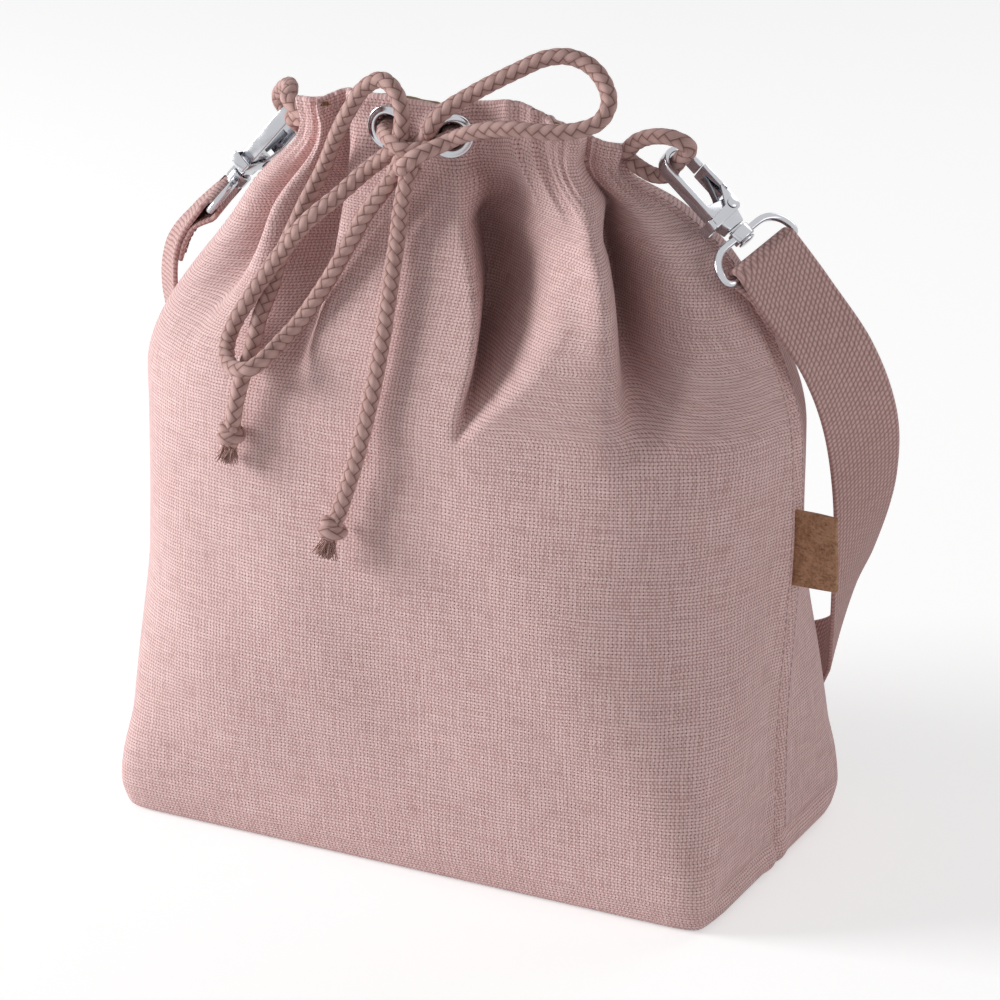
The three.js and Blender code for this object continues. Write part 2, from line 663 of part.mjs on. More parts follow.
// Held run of the drawstring: knot, left eyelet, round the channel, right eyelet, knot
function drawstringRoute() {
  const ring = halfOutline(ringHalfWidth, ringHalfDepth, ringSquareness);
  const total = ring[sectionSteps].length;
  const round = [];
  const frontReach = ringHalfWidth - 26;
  const startShare = 0.18;
  for (let i = 0; i <= 8; i += 1) {
    const p = pointAlong(ring, total * startShare * (1 - i / 8));
    round.push([p.x, -p.y]);
  }
  for (let i = 1; i <= 16; i += 1) {
    const p = pointAlong(ring, (total * i) / 16);
    round.push([p.x, p.y]);
  }
  const endShare = 0.3;
  for (let i = 1; i <= 9; i += 1) {
    const p = pointAlong(ring, total * (1 - (endShare * i) / 9));
    round.push([p.x, -p.y]);
  }
  const inRing = round.map(([x, y]) => {
    const across = x + mouthShift;
    return [across, y, settledHeight(across, y, eyeletHeight)];
  });
  const through = (side, distance, slide) => {
    const frame = eyeletFrames[side];
    const at = frame.middle.clone().addScaledVector(frame.axis, distance);
    return [at.x + slide, at.y, at.z];
  };
  return [
    [knotMiddle[0] - 3, knotMiddle[1], knotMiddle[2] + 2],
    through('left', 8.5, 4),
    through('left', 3, 0.4),
    through('left', -4.5, -0.3),
    ...inRing,
    through('right', -4.5, 0.3),
    through('right', 3, -0.4),
    through('right', 8.5, -4),
    [knotMiddle[0] + 3, knotMiddle[1], knotMiddle[2] - 1],
  ];
}

knottedCord('drawstring_run', drawstringRoute(), 54);
knottedCord('bow_loop_right', bowLoopRight, 18);
knottedCord('bow_loop_left', bowLoopLeft, 26);
knottedCord('tail_short', tailShort, 20);
knottedCord('tail_long', tailLong, 14);

// Overhand knot and frayed tuft at the end of a tail, turned about the cord's last direction
function tailEnd(name, points) {
  const last = vector(points[points.length - 1]);
  const before = vector(points[points.length - 2]);
  const axis = last.clone().sub(before).normalize();
  const start = runningGap;
  const profile = [
    [0, start], [tailKnotRadius * 0.75, start + 0.6], [tailKnotRadius, start + 4], [tailKnotRadius * 0.9, start + 7],
    [cordRadius * 0.8, start + 10], [cordRadius * 1.1, start + 14], [cordRadius * 1.4, tailKnotLength], [0, tailKnotLength],
  ].map(([r, y]) => new THREE.Vector2(r, y));
  const turn = new THREE.Quaternion().setFromUnitVectors(new THREE.Vector3(0, 1, 0), axis);
  const geometry = new THREE.LatheGeometry(profile, 10).applyQuaternion(turn).translate(last.x, last.y, last.z);
  addPiece(part, name, geometry, cordCloth);
}

tailEnd('tail_short_knot', tailShort);
tailEnd('tail_long_knot', tailLong);

// Cord loops sewn into the side seams at the mouth, each through the eye of a hook
addPiece(part, 'strap_loop_right', cordTube(hookLoopRight, 20), cordCloth);
addPiece(part, 'strap_loop_left', cordTube(hookLoopLeft, 20), cordCloth);

// Folded tag held in the right side seam
const tagRoot = Math.max(...[-0.5, 0, 0.5].map((k) => {
  const z = tagMiddle + k * tagHeight;
  return halfWidthAt(z) + shiftAt(z);
}));
const tagRootX = tagRoot + runningGap;
addPiece(part, 'side_tag', box(
  [tagRootX, -tagThick / 2, tagMiddle - tagHeight / 2],
  [tagRootX + tagReach, tagThick / 2, tagMiddle + tagHeight / 2],
), cork);

// Hooks: each has its body, gate, rivet, spring and swivel post in the hook's own frame, where
// +Y runs from the hub to the eye, +X to the gate and Z across the strip

function hookFrame(place) {
  const eye = vector(place.eye).normalize();
  const gate = vector(place.gate).addScaledVector(eye, -vector(place.gate).dot(eye)).normalize();
  const across = new THREE.Vector3().crossVectors(gate, eye);
  const group = new THREE.Group();
  group.applyMatrix4(new THREE.Matrix4().makeBasis(gate, eye, across).setPosition(vector(place.hub)));
  part.add(group);
  return group;
}

function ringFrame(place) {
  const eye = vector(place.eye).normalize();
  const bar = vector(place.bar).addScaledVector(eye, -vector(place.bar).dot(eye)).normalize();
  const out = new THREE.Vector3().crossVectors(bar, eye);
  const matrix = new THREE.Matrix4().makeBasis(bar, eye, out).setPosition(vector(place.hub));
  const group = new THREE.Group();
  group.applyMatrix4(matrix);
  part.add(group);
  return { group, matrix };
}

function extruded(points, depth) {
  const shape = new THREE.Shape(points.map(([x, y]) => new THREE.Vector2(x, y)));
  return new THREE.ExtrudeGeometry(shape, { depth, bevelEnabled: false }).translate(0, 0, -depth / 2);
}

function arcPoints(x, y, radius, from, to, count) {
  return Array.from({ length: count + 1 }, (_, i) => {
    const turn = from + ((to - from) * i) / count;
    return [x + radius * Math.cos(turn), y + radius * Math.sin(turn)];
  });
}

const crownHeight = hookLength - hookHalfWidth;
const noseEnd = crownHeight - noseDrop;
const footHalf = 4.6;
const innerHalf = hookHalfWidth - hookStrip;
const rivetHole = rivetRadius + runningGap;

function hookBody() {
  const outline = [
    [-footHalf, 1], [footHalf - 1.6, 1], [footHalf + 0.6, rivetHeight - 1], [footHalf, hookFootHeight],
    [-innerHalf, hookFootHeight + 1.5], [-innerHalf, crownHeight],
    ...arcPoints(0, crownHeight, innerHalf, Math.PI, 0, 8).slice(1),
    [innerHalf, noseEnd], [hookHalfWidth, noseEnd],
    ...arcPoints(0, crownHeight, hookHalfWidth, 0, Math.PI, 8),
    [-hookHalfWidth, hookFootHeight - 2],
  ];
  const hole = new THREE.CylinderGeometry(rivetHole, rivetHole, hookDepth + 2, 12)
    .rotateX(Math.PI / 2).translate(rivetSide, rivetHeight, 0);
  return geometryOf(solidOf(extruded(outline, hookDepth)).subtract(solidOf(hole)));
}

const cheekInside = hookDepth / 2 + runningGap;
const gateTop = noseEnd - runningGap;
const gateFoot = hookFootHeight + 1.6;

function hookGate() {
  const strip = extruded([
    [innerHalf + 0.2, gateFoot], [hookHalfWidth, gateFoot], [hookHalfWidth, gateTop], [innerHalf + 0.2, gateTop],
  ], 2 * (cheekInside + cheekThick));
  const cheekOutline = [
    [hookHalfWidth, gateFoot + 3], [innerHalf + 0.2, gateFoot + 3],
    [rivetSide - cheekRadius, rivetHeight + 1], [-tabReach, tabHeight + 3.4],
    [-tabReach, tabHeight], [rivetSide - 1, rivetHeight - cheekRadius],
    [rivetSide + cheekRadius, rivetHeight - 1],
  ];
  const hole = solidOf(new THREE.CylinderGeometry(rivetHole, rivetHole, hookDepth * 3, 12)
    .rotateX(Math.PI / 2).translate(rivetSide, rivetHeight, 0));
  const tab = extruded([
    [-tabReach - 1.2, tabHeight], [-hookHalfWidth - 1.2, tabHeight + 0.6],
    [-hookHalfWidth - 1.2, tabHeight + 3.2], [-tabReach - 1.2, tabHeight + 4],
  ], 2 * (cheekInside + cheekThick));
  let gate = solidOf(strip).add(solidOf(tab));
  for (const side of [-1, 1]) {
    const cheek = extruded(cheekOutline, cheekThick).translate(0, 0, side * (cheekInside + cheekThick / 2));
    gate = gate.add(solidOf(cheek));
  }
  return geometryOf(gate.subtract(hole));
}

function gateRivet() {
  const half = cheekInside + cheekThick + runningGap;
  const profile = [
    [0, -half - rivetHeadThick], [rivetHeadRadius, -half - rivetHeadThick * 0.4], [rivetHeadRadius, -half],
    [rivetRadius, -half], [rivetRadius, half], [rivetHeadRadius, half], [rivetHeadRadius, half + rivetHeadThick * 0.4],
    [0, half + rivetHeadThick],
  ].map(([r, y]) => new THREE.Vector2(r, y));
  return new THREE.LatheGeometry(profile, 12).rotateX(Math.PI / 2).translate(rivetSide, rivetHeight, 0);
}

// Leaf spring that stands on the hook's foot and bears on the inside of the gate
function gateSpring() {
  const low = hookFootHeight + runningGap + 1.4;
  const bearing = innerHalf + 0.2 - runningGap;
  return extruded([
    [footHalf - 3.2, low - 0.6], [footHalf - 2.2, low - 0.6], [bearing, low + 7], [bearing, low + 9],
    [bearing - springThick, low + 9], [bearing - springThick, low + 7.2], [footHalf - 3.2, low],
  ], springWidth);
}

// Swivel post under the hook's foot, headed below the ring's collar
function swivelPost() {
  const foot = 1 - runningGap;
  const collarFoot = -collarHeight - runningGap;
  const profile = [
    [0, foot], [postRadius + 0.8, foot], [postRadius + 0.8, runningGap], [postRadius, runningGap], [postRadius, collarFoot],
    [postHeadRadius, collarFoot], [postHeadRadius, collarFoot - postHeadThick * 0.5], [0, collarFoot - postHeadThick],
  ].map(([r, y]) => new THREE.Vector2(r, y));
  return new THREE.LatheGeometry(profile.reverse(), 14);
}

// Rounded D ring with a collar for the swivel post
function swivelRing() {
  const half = (ringInside + ringWire) / 2;
  const top = -collarHeight / 2;
  const bottom = -ringDepth;
  const wide = half - ringShoulder;
  const narrow = half - ringCorner;
  const route = [
    [0, top], [wide / 2, top],
    ...arcPoints(wide, top - ringShoulder, ringShoulder, Math.PI / 2, 0, 4),
    ...arcPoints(narrow, bottom + ringCorner, ringCorner, 0, -Math.PI / 2, 3),
    [0, bottom],
    ...arcPoints(-narrow, bottom + ringCorner, ringCorner, -Math.PI / 2, -Math.PI, 3),
    ...arcPoints(-wide, top - ringShoulder, ringShoulder, Math.PI, Math.PI / 2, 4),
    [-wide / 2, top],
  ];
  const curve = new THREE.CatmullRomCurve3(route.map(([x, y]) => new THREE.Vector3(x, y, 0)), true, 'centripetal');
  const shape = new THREE.Shape(Array.from({ length: 8 }, (_, i) => new THREE.Vector2(
    (ringWire / 2) * Math.cos((Math.PI * i) / 4),
    (ringWire / 2) * Math.sin((Math.PI * i) / 4),
  )));
  const wire = solidOf(new THREE.ExtrudeGeometry(shape, { steps: 40, extrudePath: curve, bevelEnabled: false }));
  const collar = solidOf(new THREE.CylinderGeometry(collarRadius, collarRadius, collarHeight, 16)
    .translate(0, -collarHeight / 2, 0));
  const bore = solidOf(new THREE.CylinderGeometry(
    postRadius + runningGap,
    postRadius + runningGap,
    collarHeight * 3,
    14,
  ));
  return geometryOf(wire.add(collar).subtract(bore));
}

const bars = {};
for (const [side, place] of Object.entries(hooks)) {
  const hook = hookFrame(place);
  addPiece(hook, `hook_body_${side}`, hookBody(), nickel);
  addPiece(hook, `hook_gate_${side}`, hookGate(), nickel);
  addPiece(hook, `gate_rivet_${side}`, gateRivet(), nickel);
  addPiece(hook, `gate_spring_${side}`, gateSpring(), springSteel);
  addPiece(hook, `swivel_post_${side}`, swivelPost(), nickel);
  const ring = ringFrame(place);
  addPiece(ring.group, `swivel_ring_${side}`, swivelRing(), nickel);
  bars[side] = {
    middle: new THREE.Vector3(0, -ringDepth, 0).applyMatrix4(ring.matrix),
    along: new THREE.Vector3().setFromMatrixColumn(ring.matrix, 0),
    away: vector(place.eye).normalize().negate(),
  };
}

// Webbing: a flat ribbon that laps back round the bar of each ring

const wrapRadius = ringWire / 2 + 2 * runningGap + strapThick / 2;

function wrapStations(bar, outward) {
  const normal = new THREE.Vector3().crossVectors(bar.along, bar.away).normalize();
  const stations = [];
  for (const back of [strapLap, strapLap * 0.5]) {
    stations.push({ at: bar.middle.clone().addScaledVector(bar.away, back).addScaledVector(normal, -outward * wrapRadius), bar });
  }
  for (let i = 0; i <= 6; i += 1) {
    const turn = -Math.PI / 2 + (Math.PI * i) / 6;
    const at = bar.middle.clone()
      .addScaledVector(bar.away, -wrapRadius * Math.cos(turn))
      .addScaledVector(normal, outward * wrapRadius * Math.sin(turn));
    stations.push({ at, bar });
  }
  return stations.map(({ at }) => ({ at, across: bar.along.clone() }));
}

function strapStations() {
  const right = wrapStations(bars.right, -1);
  const left = wrapStations(bars.left, 1).reverse();
  const between = strapRoute.map((row) => ({ at: vector(row), across: vector(row.slice(3)).normalize() }));
  return { right, between, left };
}

function ribbon() {
  const { right, between, left } = strapStations();
  const rightEnd = right[right.length - 1];
  const leftEnd = left[0];
  const main = [rightEnd, ...between, leftEnd];
  const route = new THREE.CatmullRomCurve3(main.map((s) => s.at), false, 'centripetal');
  const stations = [...right];
  const perSpan = 3;
  for (let i = 0; i < main.length - 1; i += 1) {
    for (let k = i === 0 ? 1 : 0; k < perSpan; k += 1) {
      const t = (i + k / perSpan) / (main.length - 1);
      const across = main[i].across.clone().lerp(main[i + 1].across, k / perSpan);
      stations.push({ at: route.getPoint(t), across });
    }
  }
  stations.push(...left);
  const positions = [];
  stations.forEach((station, i) => {
    const next = stations[Math.min(stations.length - 1, i + 1)].at;
    const last = stations[Math.max(0, i - 1)].at;
    const ahead = next.clone().sub(last).normalize();
    const across = station.across.clone().addScaledVector(ahead, -station.across.dot(ahead)).normalize();
    const normal = new THREE.Vector3().crossVectors(ahead, across);
    for (const [w, t] of [[-1, -1], [1, -1], [1, 1], [-1, 1]]) {
      const corner = station.at.clone()
        .addScaledVector(across, (w * strapWidth) / 2)
        .addScaledVector(normal, (t * strapThick) / 2);
      positions.push(corner.x, corner.y, corner.z);
    }
  });
  const faces = [];
  for (let i = 0; i < stations.length - 1; i += 1) {
    for (let k = 0; k < 4; k += 1) {
      const a = 4 * i + k;
      const b = 4 * i + ((k + 1) % 4);
      faces.push(a, b, b + 4, a, b + 4, a + 4);
    }
  }
  const end = 4 * (stations.length - 1);
  faces.push(0, 2, 1, 0, 3, 2, end, end + 1, end + 2, end, end + 2, end + 3);
  const geometry = new THREE.BufferGeometry();
  geometry.setAttribute('position', new THREE.Float32BufferAttribute(positions, 3));
  geometry.setIndex(faces);
  return geometry;
}

addPiece(part, 'strap_webbing', ribbon(), webbing);

export default part;
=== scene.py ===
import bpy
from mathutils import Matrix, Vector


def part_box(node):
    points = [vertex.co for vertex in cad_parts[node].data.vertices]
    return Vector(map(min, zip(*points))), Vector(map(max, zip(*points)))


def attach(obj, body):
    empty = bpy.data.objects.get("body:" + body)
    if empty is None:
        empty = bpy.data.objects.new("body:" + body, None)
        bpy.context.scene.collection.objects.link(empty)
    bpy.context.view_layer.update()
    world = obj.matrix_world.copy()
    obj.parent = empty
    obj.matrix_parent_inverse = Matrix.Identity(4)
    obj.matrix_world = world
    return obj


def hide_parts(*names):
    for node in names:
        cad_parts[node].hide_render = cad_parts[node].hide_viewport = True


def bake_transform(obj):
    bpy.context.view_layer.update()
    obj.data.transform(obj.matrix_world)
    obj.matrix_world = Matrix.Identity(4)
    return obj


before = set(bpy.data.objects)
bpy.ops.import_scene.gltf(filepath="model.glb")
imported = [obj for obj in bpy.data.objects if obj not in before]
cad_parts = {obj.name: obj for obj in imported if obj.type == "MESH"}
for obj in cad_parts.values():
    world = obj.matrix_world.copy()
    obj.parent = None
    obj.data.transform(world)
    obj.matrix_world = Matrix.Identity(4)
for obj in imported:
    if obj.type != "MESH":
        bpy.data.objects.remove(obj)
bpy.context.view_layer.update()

import math

import bmesh
import bpy
import numpy as np
from mathutils import Matrix, Vector
from mathutils.kdtree import KDTree

scene = bpy.context.scene
scene.view_settings.view_transform = "Standard"

photoView = {
    "target": (0.0083, 0.0, 0.1241),
    "azimuth": 26.95,
    "elevation": 20.77,
    "distance": 1.462,
    "lens": 144.0,
    "sensor": 36.0,
}


def addCamera(view):
    turn, rise = math.radians(view["azimuth"]), math.radians(view["elevation"])
    back = Vector((math.sin(turn) * math.cos(rise), -math.cos(turn) * math.cos(rise), math.sin(rise)))
    data = bpy.data.cameras.new("photoCamera")
    data.lens, data.sensor_width = view["lens"], view["sensor"]
    camera = bpy.data.objects.new("photoCamera", data)
    camera.location = Vector(view["target"]) + back * view["distance"]
    camera.rotation_euler = (-back).to_track_quat("-Z", "Y").to_euler()
    scene.collection.objects.link(camera)
    scene.camera = camera


addCamera(photoView)


# node trees: a Wire is one output, and sums on wires add Math nodes
def mathPair(kind):  # an operator and its reflected form
    forward = lambda self, other: self.tree.math(kind, self, other)
    reflected = lambda self, other: self.tree.math(kind, other, self)
    return forward, reflected


class Wire:
    def __init__(self, tree, socket):
        self.tree, self.socket = tree, socket

    def out(self, name):
        return Wire(self.tree, self.socket.node.outputs[name])

    __add__, __radd__ = mathPair("ADD")
    __sub__, __rsub__ = mathPair("SUBTRACT")
    __mul__, __rmul__ = mathPair("MULTIPLY")
    __truediv__, __rtruediv__ = mathPair("DIVIDE")
    __pow__, __rpow__ = mathPair("POWER")
    __mod__, __rmod__ = mathPair("FLOORED_MODULO")


class NodeBench:
    def __init__(self, tree):
        self.tree = tree

    # type of node, settings made first, then socket values or links; gives back one output
    def node(self, kind, settings=None, values=None, output=0):
        made = self.tree.nodes.new(kind)
        for key, value in (settings or {}).items():
            setattr(made, key, value)
        for key, value in (values or {}).items():
            if isinstance(value, Wire):
                self.tree.links.new(value.socket, made.inputs[key])
            else:
                made.inputs[key].default_value = value
        return Wire(self, made.outputs[output]) if len(made.outputs) else made

    def math(self, operation, *values):
        return self.node("ShaderNodeMath", {"operation": operation}, dict(enumerate(values)))

    def vector(self, x, y, z=0.0):
        return self.node("ShaderNodeCombineXYZ", None, {0: x, 1: y, 2: z})

    def ease(self, value, low, high):
        return self.node(
            "ShaderNodeMapRange", {"interpolation_type": "SMOOTHSTEP"},
            {"Value": value, "From Min": low, "From Max": high, "To Min": 0.0, "To Max": 1.0},
        )


class Look(NodeBench):
    def __init__(self, name):
        self.material = bpy.data.materials.new(name)
        self.material.use_nodes = True
        super().__init__(self.material.node_tree)
        self.tree.nodes.clear()

    def mixed(self, amount, first, second):
        return self.node(
            "ShaderNodeMix", {"data_type": "RGBA", "clamp_factor": True}, {0: amount, 6: first, 7: second}, output=2)

    def noise(self, place, scale, detail=2.0, rough=0.5):
        return self.node(
            "ShaderNodeTexNoise", None,
            {"Vector": place, "Scale": scale, "Detail": detail, "Roughness": rough},
        )

    def sine(self, value):  # half a wave to each whole number
        return self.math("SINE", value * math.pi)

    def line(self, value):  # 1 at whole numbers, 0 halfway between them
        return 1 - self.math("ABSOLUTE", self.sine(value))

    def objectPlace(self):
        return self.node("ShaderNodeTexCoord", output=3)

    def stretched(self, place, scale):
        return self.node("ShaderNodeMapping", None, {"Vector": place, "Scale": scale})

    def surfaceMap(self):
        place = self.node("ShaderNodeUVMap", {"uv_map": "surfaceMap"})
        parts = self.node("ShaderNodeSeparateXYZ", None, {0: place})
        return place, parts.out("X"), parts.out("Y")

    def bump(self, height, strength, distance):
        return self.node("ShaderNodeBump", None, {"Height": height, "Strength": strength, "Distance": distance})

    def finish(self, values):
        shader = self.node("ShaderNodeBsdfPrincipled", None, values)
        self.node("ShaderNodeOutputMaterial", None, {"Surface": shader})
        return self.material


def paint(red, green, blue):  # screen values to linear
    def one(value):
        value /= 255
        return value / 12.92 if value <= 0.04045 else ((value + 0.055) / 1.055) ** 2.4
    return (one(red), one(green), one(blue), 1.0)


canvasFinish = {
    "warpPitch": 0.74,  # mm between threads, across and up the cloth
    "weftPitch": 1.18,
    "drift": 0.045,  # scale of the slow bend in the threads' lines
    "warpDrift": 3.0,
    "weftDrift": 1.6,
    "threadDark": paint(186, 146, 143),
    "threadLight": paint(243, 211, 209),
    "hole": paint(104, 58, 54),
    "holeStrength": 0.9,
    "paintedCreaseShade": paint(122, 70, 62),  # painted shade: cloth deep in the gathers is darkened to stand in for their shadow
    "paintedShadeStrength": 0.42,
}


def canvasLook(finish):
    look = Look("dustyRoseCanvas")
    place, u, v = look.surfaceMap()
    drift = look.noise(place, finish["drift"], 2.0)
    driftColour = look.node("ShaderNodeSeparateColor", None, {0: drift.out("Color")})
    x = u / finish["warpPitch"] + driftColour.out("Red") * finish["warpDrift"]
    y = v / finish["weftPitch"] + driftColour.out("Green") * finish["weftDrift"]
    lineX, lineY = look.line(x), look.line(y)
    pairX = look.line(x * 0.5)  # warp threads lie in pairs
    warpRun = look.noise(look.vector(x * 0.85, y * 0.09), 1.0, 1.0)  # thick and thin threads
    weftRun = look.noise(look.vector(x * 0.05 + 40, y * 1.6), 1.0, 1.0)
    spots = look.noise(look.vector(x * 0.4, y * 0.8, 7.0), 1.0, 2.0)
    openness = look.ease(warpRun + weftRun + spots, 1.3, 1.8)
    hole = look.ease(pairX * lineY, 0.16, 0.55) * (0.2 + 0.8 * openness)
    seams = (lineX ** 2) * 0.22 + (pairX ** 2) * 0.16 + (lineY ** 2) * 0.42
    over = look.sine(x) * look.sine(y)
    fibre = look.noise(look.vector(x * 1.6, y * 3.0), 1.0, 2.0) - 0.5
    cloudy = look.noise(place, 0.02, 2.0) - 0.5
    tone = (warpRun + weftRun) * 0.7 + 0.02 + over * 0.24 + fibre * 0.35 + cloudy * 0.12 - seams
    colour = look.mixed(look.ease(tone, 0.05, 0.95), finish["threadDark"], finish["threadLight"])
    colour = look.mixed(hole * finish["holeStrength"], colour, finish["hole"])
    # painted shade: the fold-depth mask darkens the cloth towards a warm brown in the deep folds
    paintedCreaseShade = look.node("ShaderNodeAttribute", {"attribute_name": "paintedCreaseShade"}).out("Fac")
    colour = look.mixed(paintedCreaseShade * finish["paintedShadeStrength"], colour, finish["paintedCreaseShade"])
    height = 0.5 + over * 0.25 - hole * 0.6 - seams * 0.7 + fibre * 0.25
    return look.finish({
        "Base Color": colour,
        "Roughness": 0.92,
        "Specular IOR Level": 0.2,
        "Sheen Weight": 0.12,
        "Sheen Roughness": 0.5,
        "Normal": look.bump(height, 0.5, 0.0004),
    })


cordFinish = {
    "strandDark": paint(168, 131, 125),
    "strandLight": paint(210, 175, 169),
    "gap": paint(86, 56, 50),
    "strands": 4.0,
    "yarns": 6.0,  # fine yarns in each strand
}


def cordLook(finish):
    look = Look("braidedCord")
    place, turn, lay = look.surfaceMap()
    a = (turn - lay) * finish["strands"]
    b = (turn + lay) * finish["strands"]
    step = (look.math("FLOOR", a) + look.math("FLOOR", b)) % 4.0  # two over, two under
    under = look.math("GREATER_THAN", step, 1.5)
    over = 1 - under
    partA, partB = look.math("FRACT", a), look.math("FRACT", b)
    across = look.sine(over * partA + under * partB)
    along = look.sine((step % 2.0 + over * partB + under * partA) * 0.5)
    gap = 1 - look.ease(along, 0.0, 0.3) * (0.35 + 0.65 * look.ease(across, 0.0, 0.3))
    yarnLine = look.sine((over * a + under * b) * (2 * finish["yarns"])) * 0.5 + 0.5
    fuzz = look.noise(look.vector(turn * 60.0, lay * 60.0), 1.0, 2.0)
    streak = look.noise(look.vector(a * 1.3, b * 1.3, over * 9.0), 0.7, 1.0)
    tone = along * 0.4 + across * 0.15 + yarnLine * 0.18 + fuzz * 0.25 + streak * 0.5 - 0.275
    strand = look.mixed(look.ease(tone, 0.15, 1.0), finish["strandDark"], finish["strandLight"])
    colour = look.mixed(gap * 0.7, strand, finish["gap"])
    return look.finish({
        "Base Color": colour,
        "Roughness": 0.86,
        "Specular IOR Level": 0.2,
        "Sheen Weight": 0.1,
        "Normal": look.bump(yarnLine * 0.5 + fuzz * 0.5 - gap, 0.45, 0.0003),
    })


webbingFinish = {
    "column": 1.75,  # mm, width of a column of slanted yarns
    "float": 2.1,  # mm, length of one yarn float
    "slant": 0.4,
    "dark": paint(170, 132, 129),
    "light": paint(222, 186, 182),
    "gap": paint(120, 85, 82),
}


def webbingLook(finish):
    look = Look("shoulderWebbing")
    place, u, v = look.surfaceMap()
    wave = look.noise(place, 0.25, 2.0) - 0.5
    column = u / finish["column"] + wave * 0.35
    side = look.math("FRACT", column) - 0.5
    stagger = look.math("FLOOR", column) % 2.0
    run = v / finish["float"] + side * finish["slant"] + stagger * 0.5 + wave * 0.6
    crown = look.sine(look.math("FRACT", run))
    ridge = look.math("COSINE", side * math.pi)
    height = (crown ** 0.7) * (0.35 + 0.65 * ridge)
    fuzz = look.noise(place, 2.2, 2.0)
    tone = height * 0.8 + (fuzz - 0.5) * 0.5 + wave * 0.3
    colour = look.mixed(look.ease(tone, 0.05, 0.95), finish["dark"], finish["light"])
    gap = 1 - look.ease(height, 0.05, 0.4)
    colour = look.mixed(gap * 0.3, colour, finish["gap"])
    return look.finish({
        "Base Color": colour,
        "Roughness": 0.85,
        "Specular IOR Level": 0.2,
        "Sheen Weight": 0.08,
        "Normal": look.bump(height + fuzz * 0.2, 0.5, 0.0005),
    })


def nickelLook(name, tint, low, high):  # roughness runs from low to high
    look = Look(name)
    place = look.objectPlace()
    cloud = look.noise(place, 120.0, 3.0)
    scratch = look.noise(look.stretched(place, (900.0, 120.0, 300.0)), 1.0, 3.0)
    worn = look.ease(cloud + scratch * 0.5, 0.5, 1.1)
    dull = tuple(c * 0.93 for c in tint[:3]) + (1.0,)
    return look.finish({
        "Base Color": look.mixed(cloud, dull, tint),
        "Metallic": 1.0,
        "Roughness": low + worn * (high - low),
        "Normal": look.bump(scratch, 0.04, 0.0001),
    })


corkFinish = {
    "dark": paint(140, 96, 68),
    "middle": paint(174, 128, 96),
    "light": paint(192, 150, 118),
    "speck": paint(92, 60, 42),
}


def corkLook(finish):
    look = Look("corkLeather")
    place = look.objectPlace()
    grain = look.noise(place, 1100.0, 4.0, 0.6)
    patch = look.noise(place, 260.0, 3.0) - 0.5
    cells = look.node("ShaderNodeTexVoronoi", None, {"Vector": place, "Scale": 700.0}).out("Distance")
    veins = look.noise(look.stretched(place, (500.0, 500.0, 1500.0)), 1.0, 3.0)
    colour = look.mixed(look.ease(grain + patch * 0.5, 0.3, 0.65), finish["dark"], finish["middle"])
    colour = look.mixed(look.ease(cells + patch, 0.3, 0.9) * 0.5, colour, finish["light"])
    colour = look.mixed(look.ease(veins, 0.56, 0.72) * 0.65, colour, finish["speck"])
    return look.finish({
        "Base Color": colour,
        "Roughness": look.ease(grain, 0.0, 1.0) * 0.2 + 0.55,
        "Normal": look.bump(grain + cells * 0.5, 0.3, 0.0002),
    })


def plainClothLook(name, dark, light, hole, pitch):
    look = Look(name)
    place, u, v = look.surfaceMap()
    x, y = u / pitch, v / pitch
    over = look.sine(x) * look.sine(y)
    fibre = look.noise(place, 1.4, 3.0)
    cloudy = look.noise(place, 0.06, 2.0) - 0.5
    gap = look.ease(look.line(x) * look.line(y), 0.2, 0.7)
    tone = over * 0.25 + (fibre - 0.5) * 0.6 + cloudy * 0.4 + 0.5
    thread = look.mixed(look.ease(tone, 0.1, 0.9), dark, light)
    return look.finish({
        "Base Color": look.mixed(gap * 0.7, thread, hole),
        "Roughness": 0.9,
        "Normal": look.bump(over * 0.4 + fibre * 0.3 - gap, 0.4, 0.0004),
    })


def foilLook():
    look = Look("foilLining")
    place = look.objectPlace()
    crinkle = look.node("ShaderNodeTexVoronoi", {"feature": "DISTANCE_TO_EDGE"}, {"Vector": place, "Scale": 70.0})
    ripple = look.noise(place, 90.0, 3.0)
    height = look.ease(crinkle.out("Distance"), 0.0, 0.12) + ripple * 0.6
    return look.finish({
        "Base Color": look.mixed(ripple, paint(176, 180, 186), paint(214, 217, 222)),
        "Metallic": 0.75,
        "Roughness": ripple * 0.2 + 0.26,
        "Normal": look.bump(height, 0.5, 0.0012),
    })


def foamLook():
    look = Look("whiteFoam")
    pores = look.node("ShaderNodeTexVoronoi", None, {"Vector": look.objectPlace(), "Scale": 900.0})
    tone = look.ease(pores.out("Distance"), 0.1, 0.7)
    return look.finish({
        "Base Color": look.mixed(tone, paint(205, 205, 200), paint(238, 238, 233)),
        "Roughness": 0.95,
        "Normal": look.bump(tone, 0.4, 0.0004),
    })


def threadLook(name, dark, light):
    look = Look(name)
    twist = look.node(
        "ShaderNodeTexWave", {"wave_type": "BANDS", "bands_direction": "DIAGONAL"},
        {"Vector": look.objectPlace(), "Scale": 700.0, "Distortion": 1.0}, output=1)
    return look.finish({"Base Color": look.mixed(twist, dark, light), "Roughness": 0.8})


looks = {
    "canvas": canvasLook(canvasFinish),
    "cord": cordLook(cordFinish),
    "webbing": webbingLook(webbingFinish),
    "nickel": nickelLook("polishedNickel", paint(196, 197, 202), 0.1, 0.24),
    "spring": nickelLook("springSteel", paint(140, 143, 150), 0.22, 0.36),
    "cork": corkLook(corkFinish),
    "facing": plainClothLook("oliveHemCloth", paint(112, 84, 58), paint(150, 118, 84), paint(66, 46, 32), 0.9),
    "foil": foilLook(),
    "foam": foamLook(),
    "webbingThread": threadLook("webbingThread", paint(132, 100, 98), paint(176, 146, 142)),
    "seamThread": threadLook("seamThread", paint(176, 142, 137), paint(214, 184, 179)),
    "frayYarn": threadLook("frayYarn", paint(152, 114, 106), paint(194, 157, 149)),
}
print("looks:", len(looks))


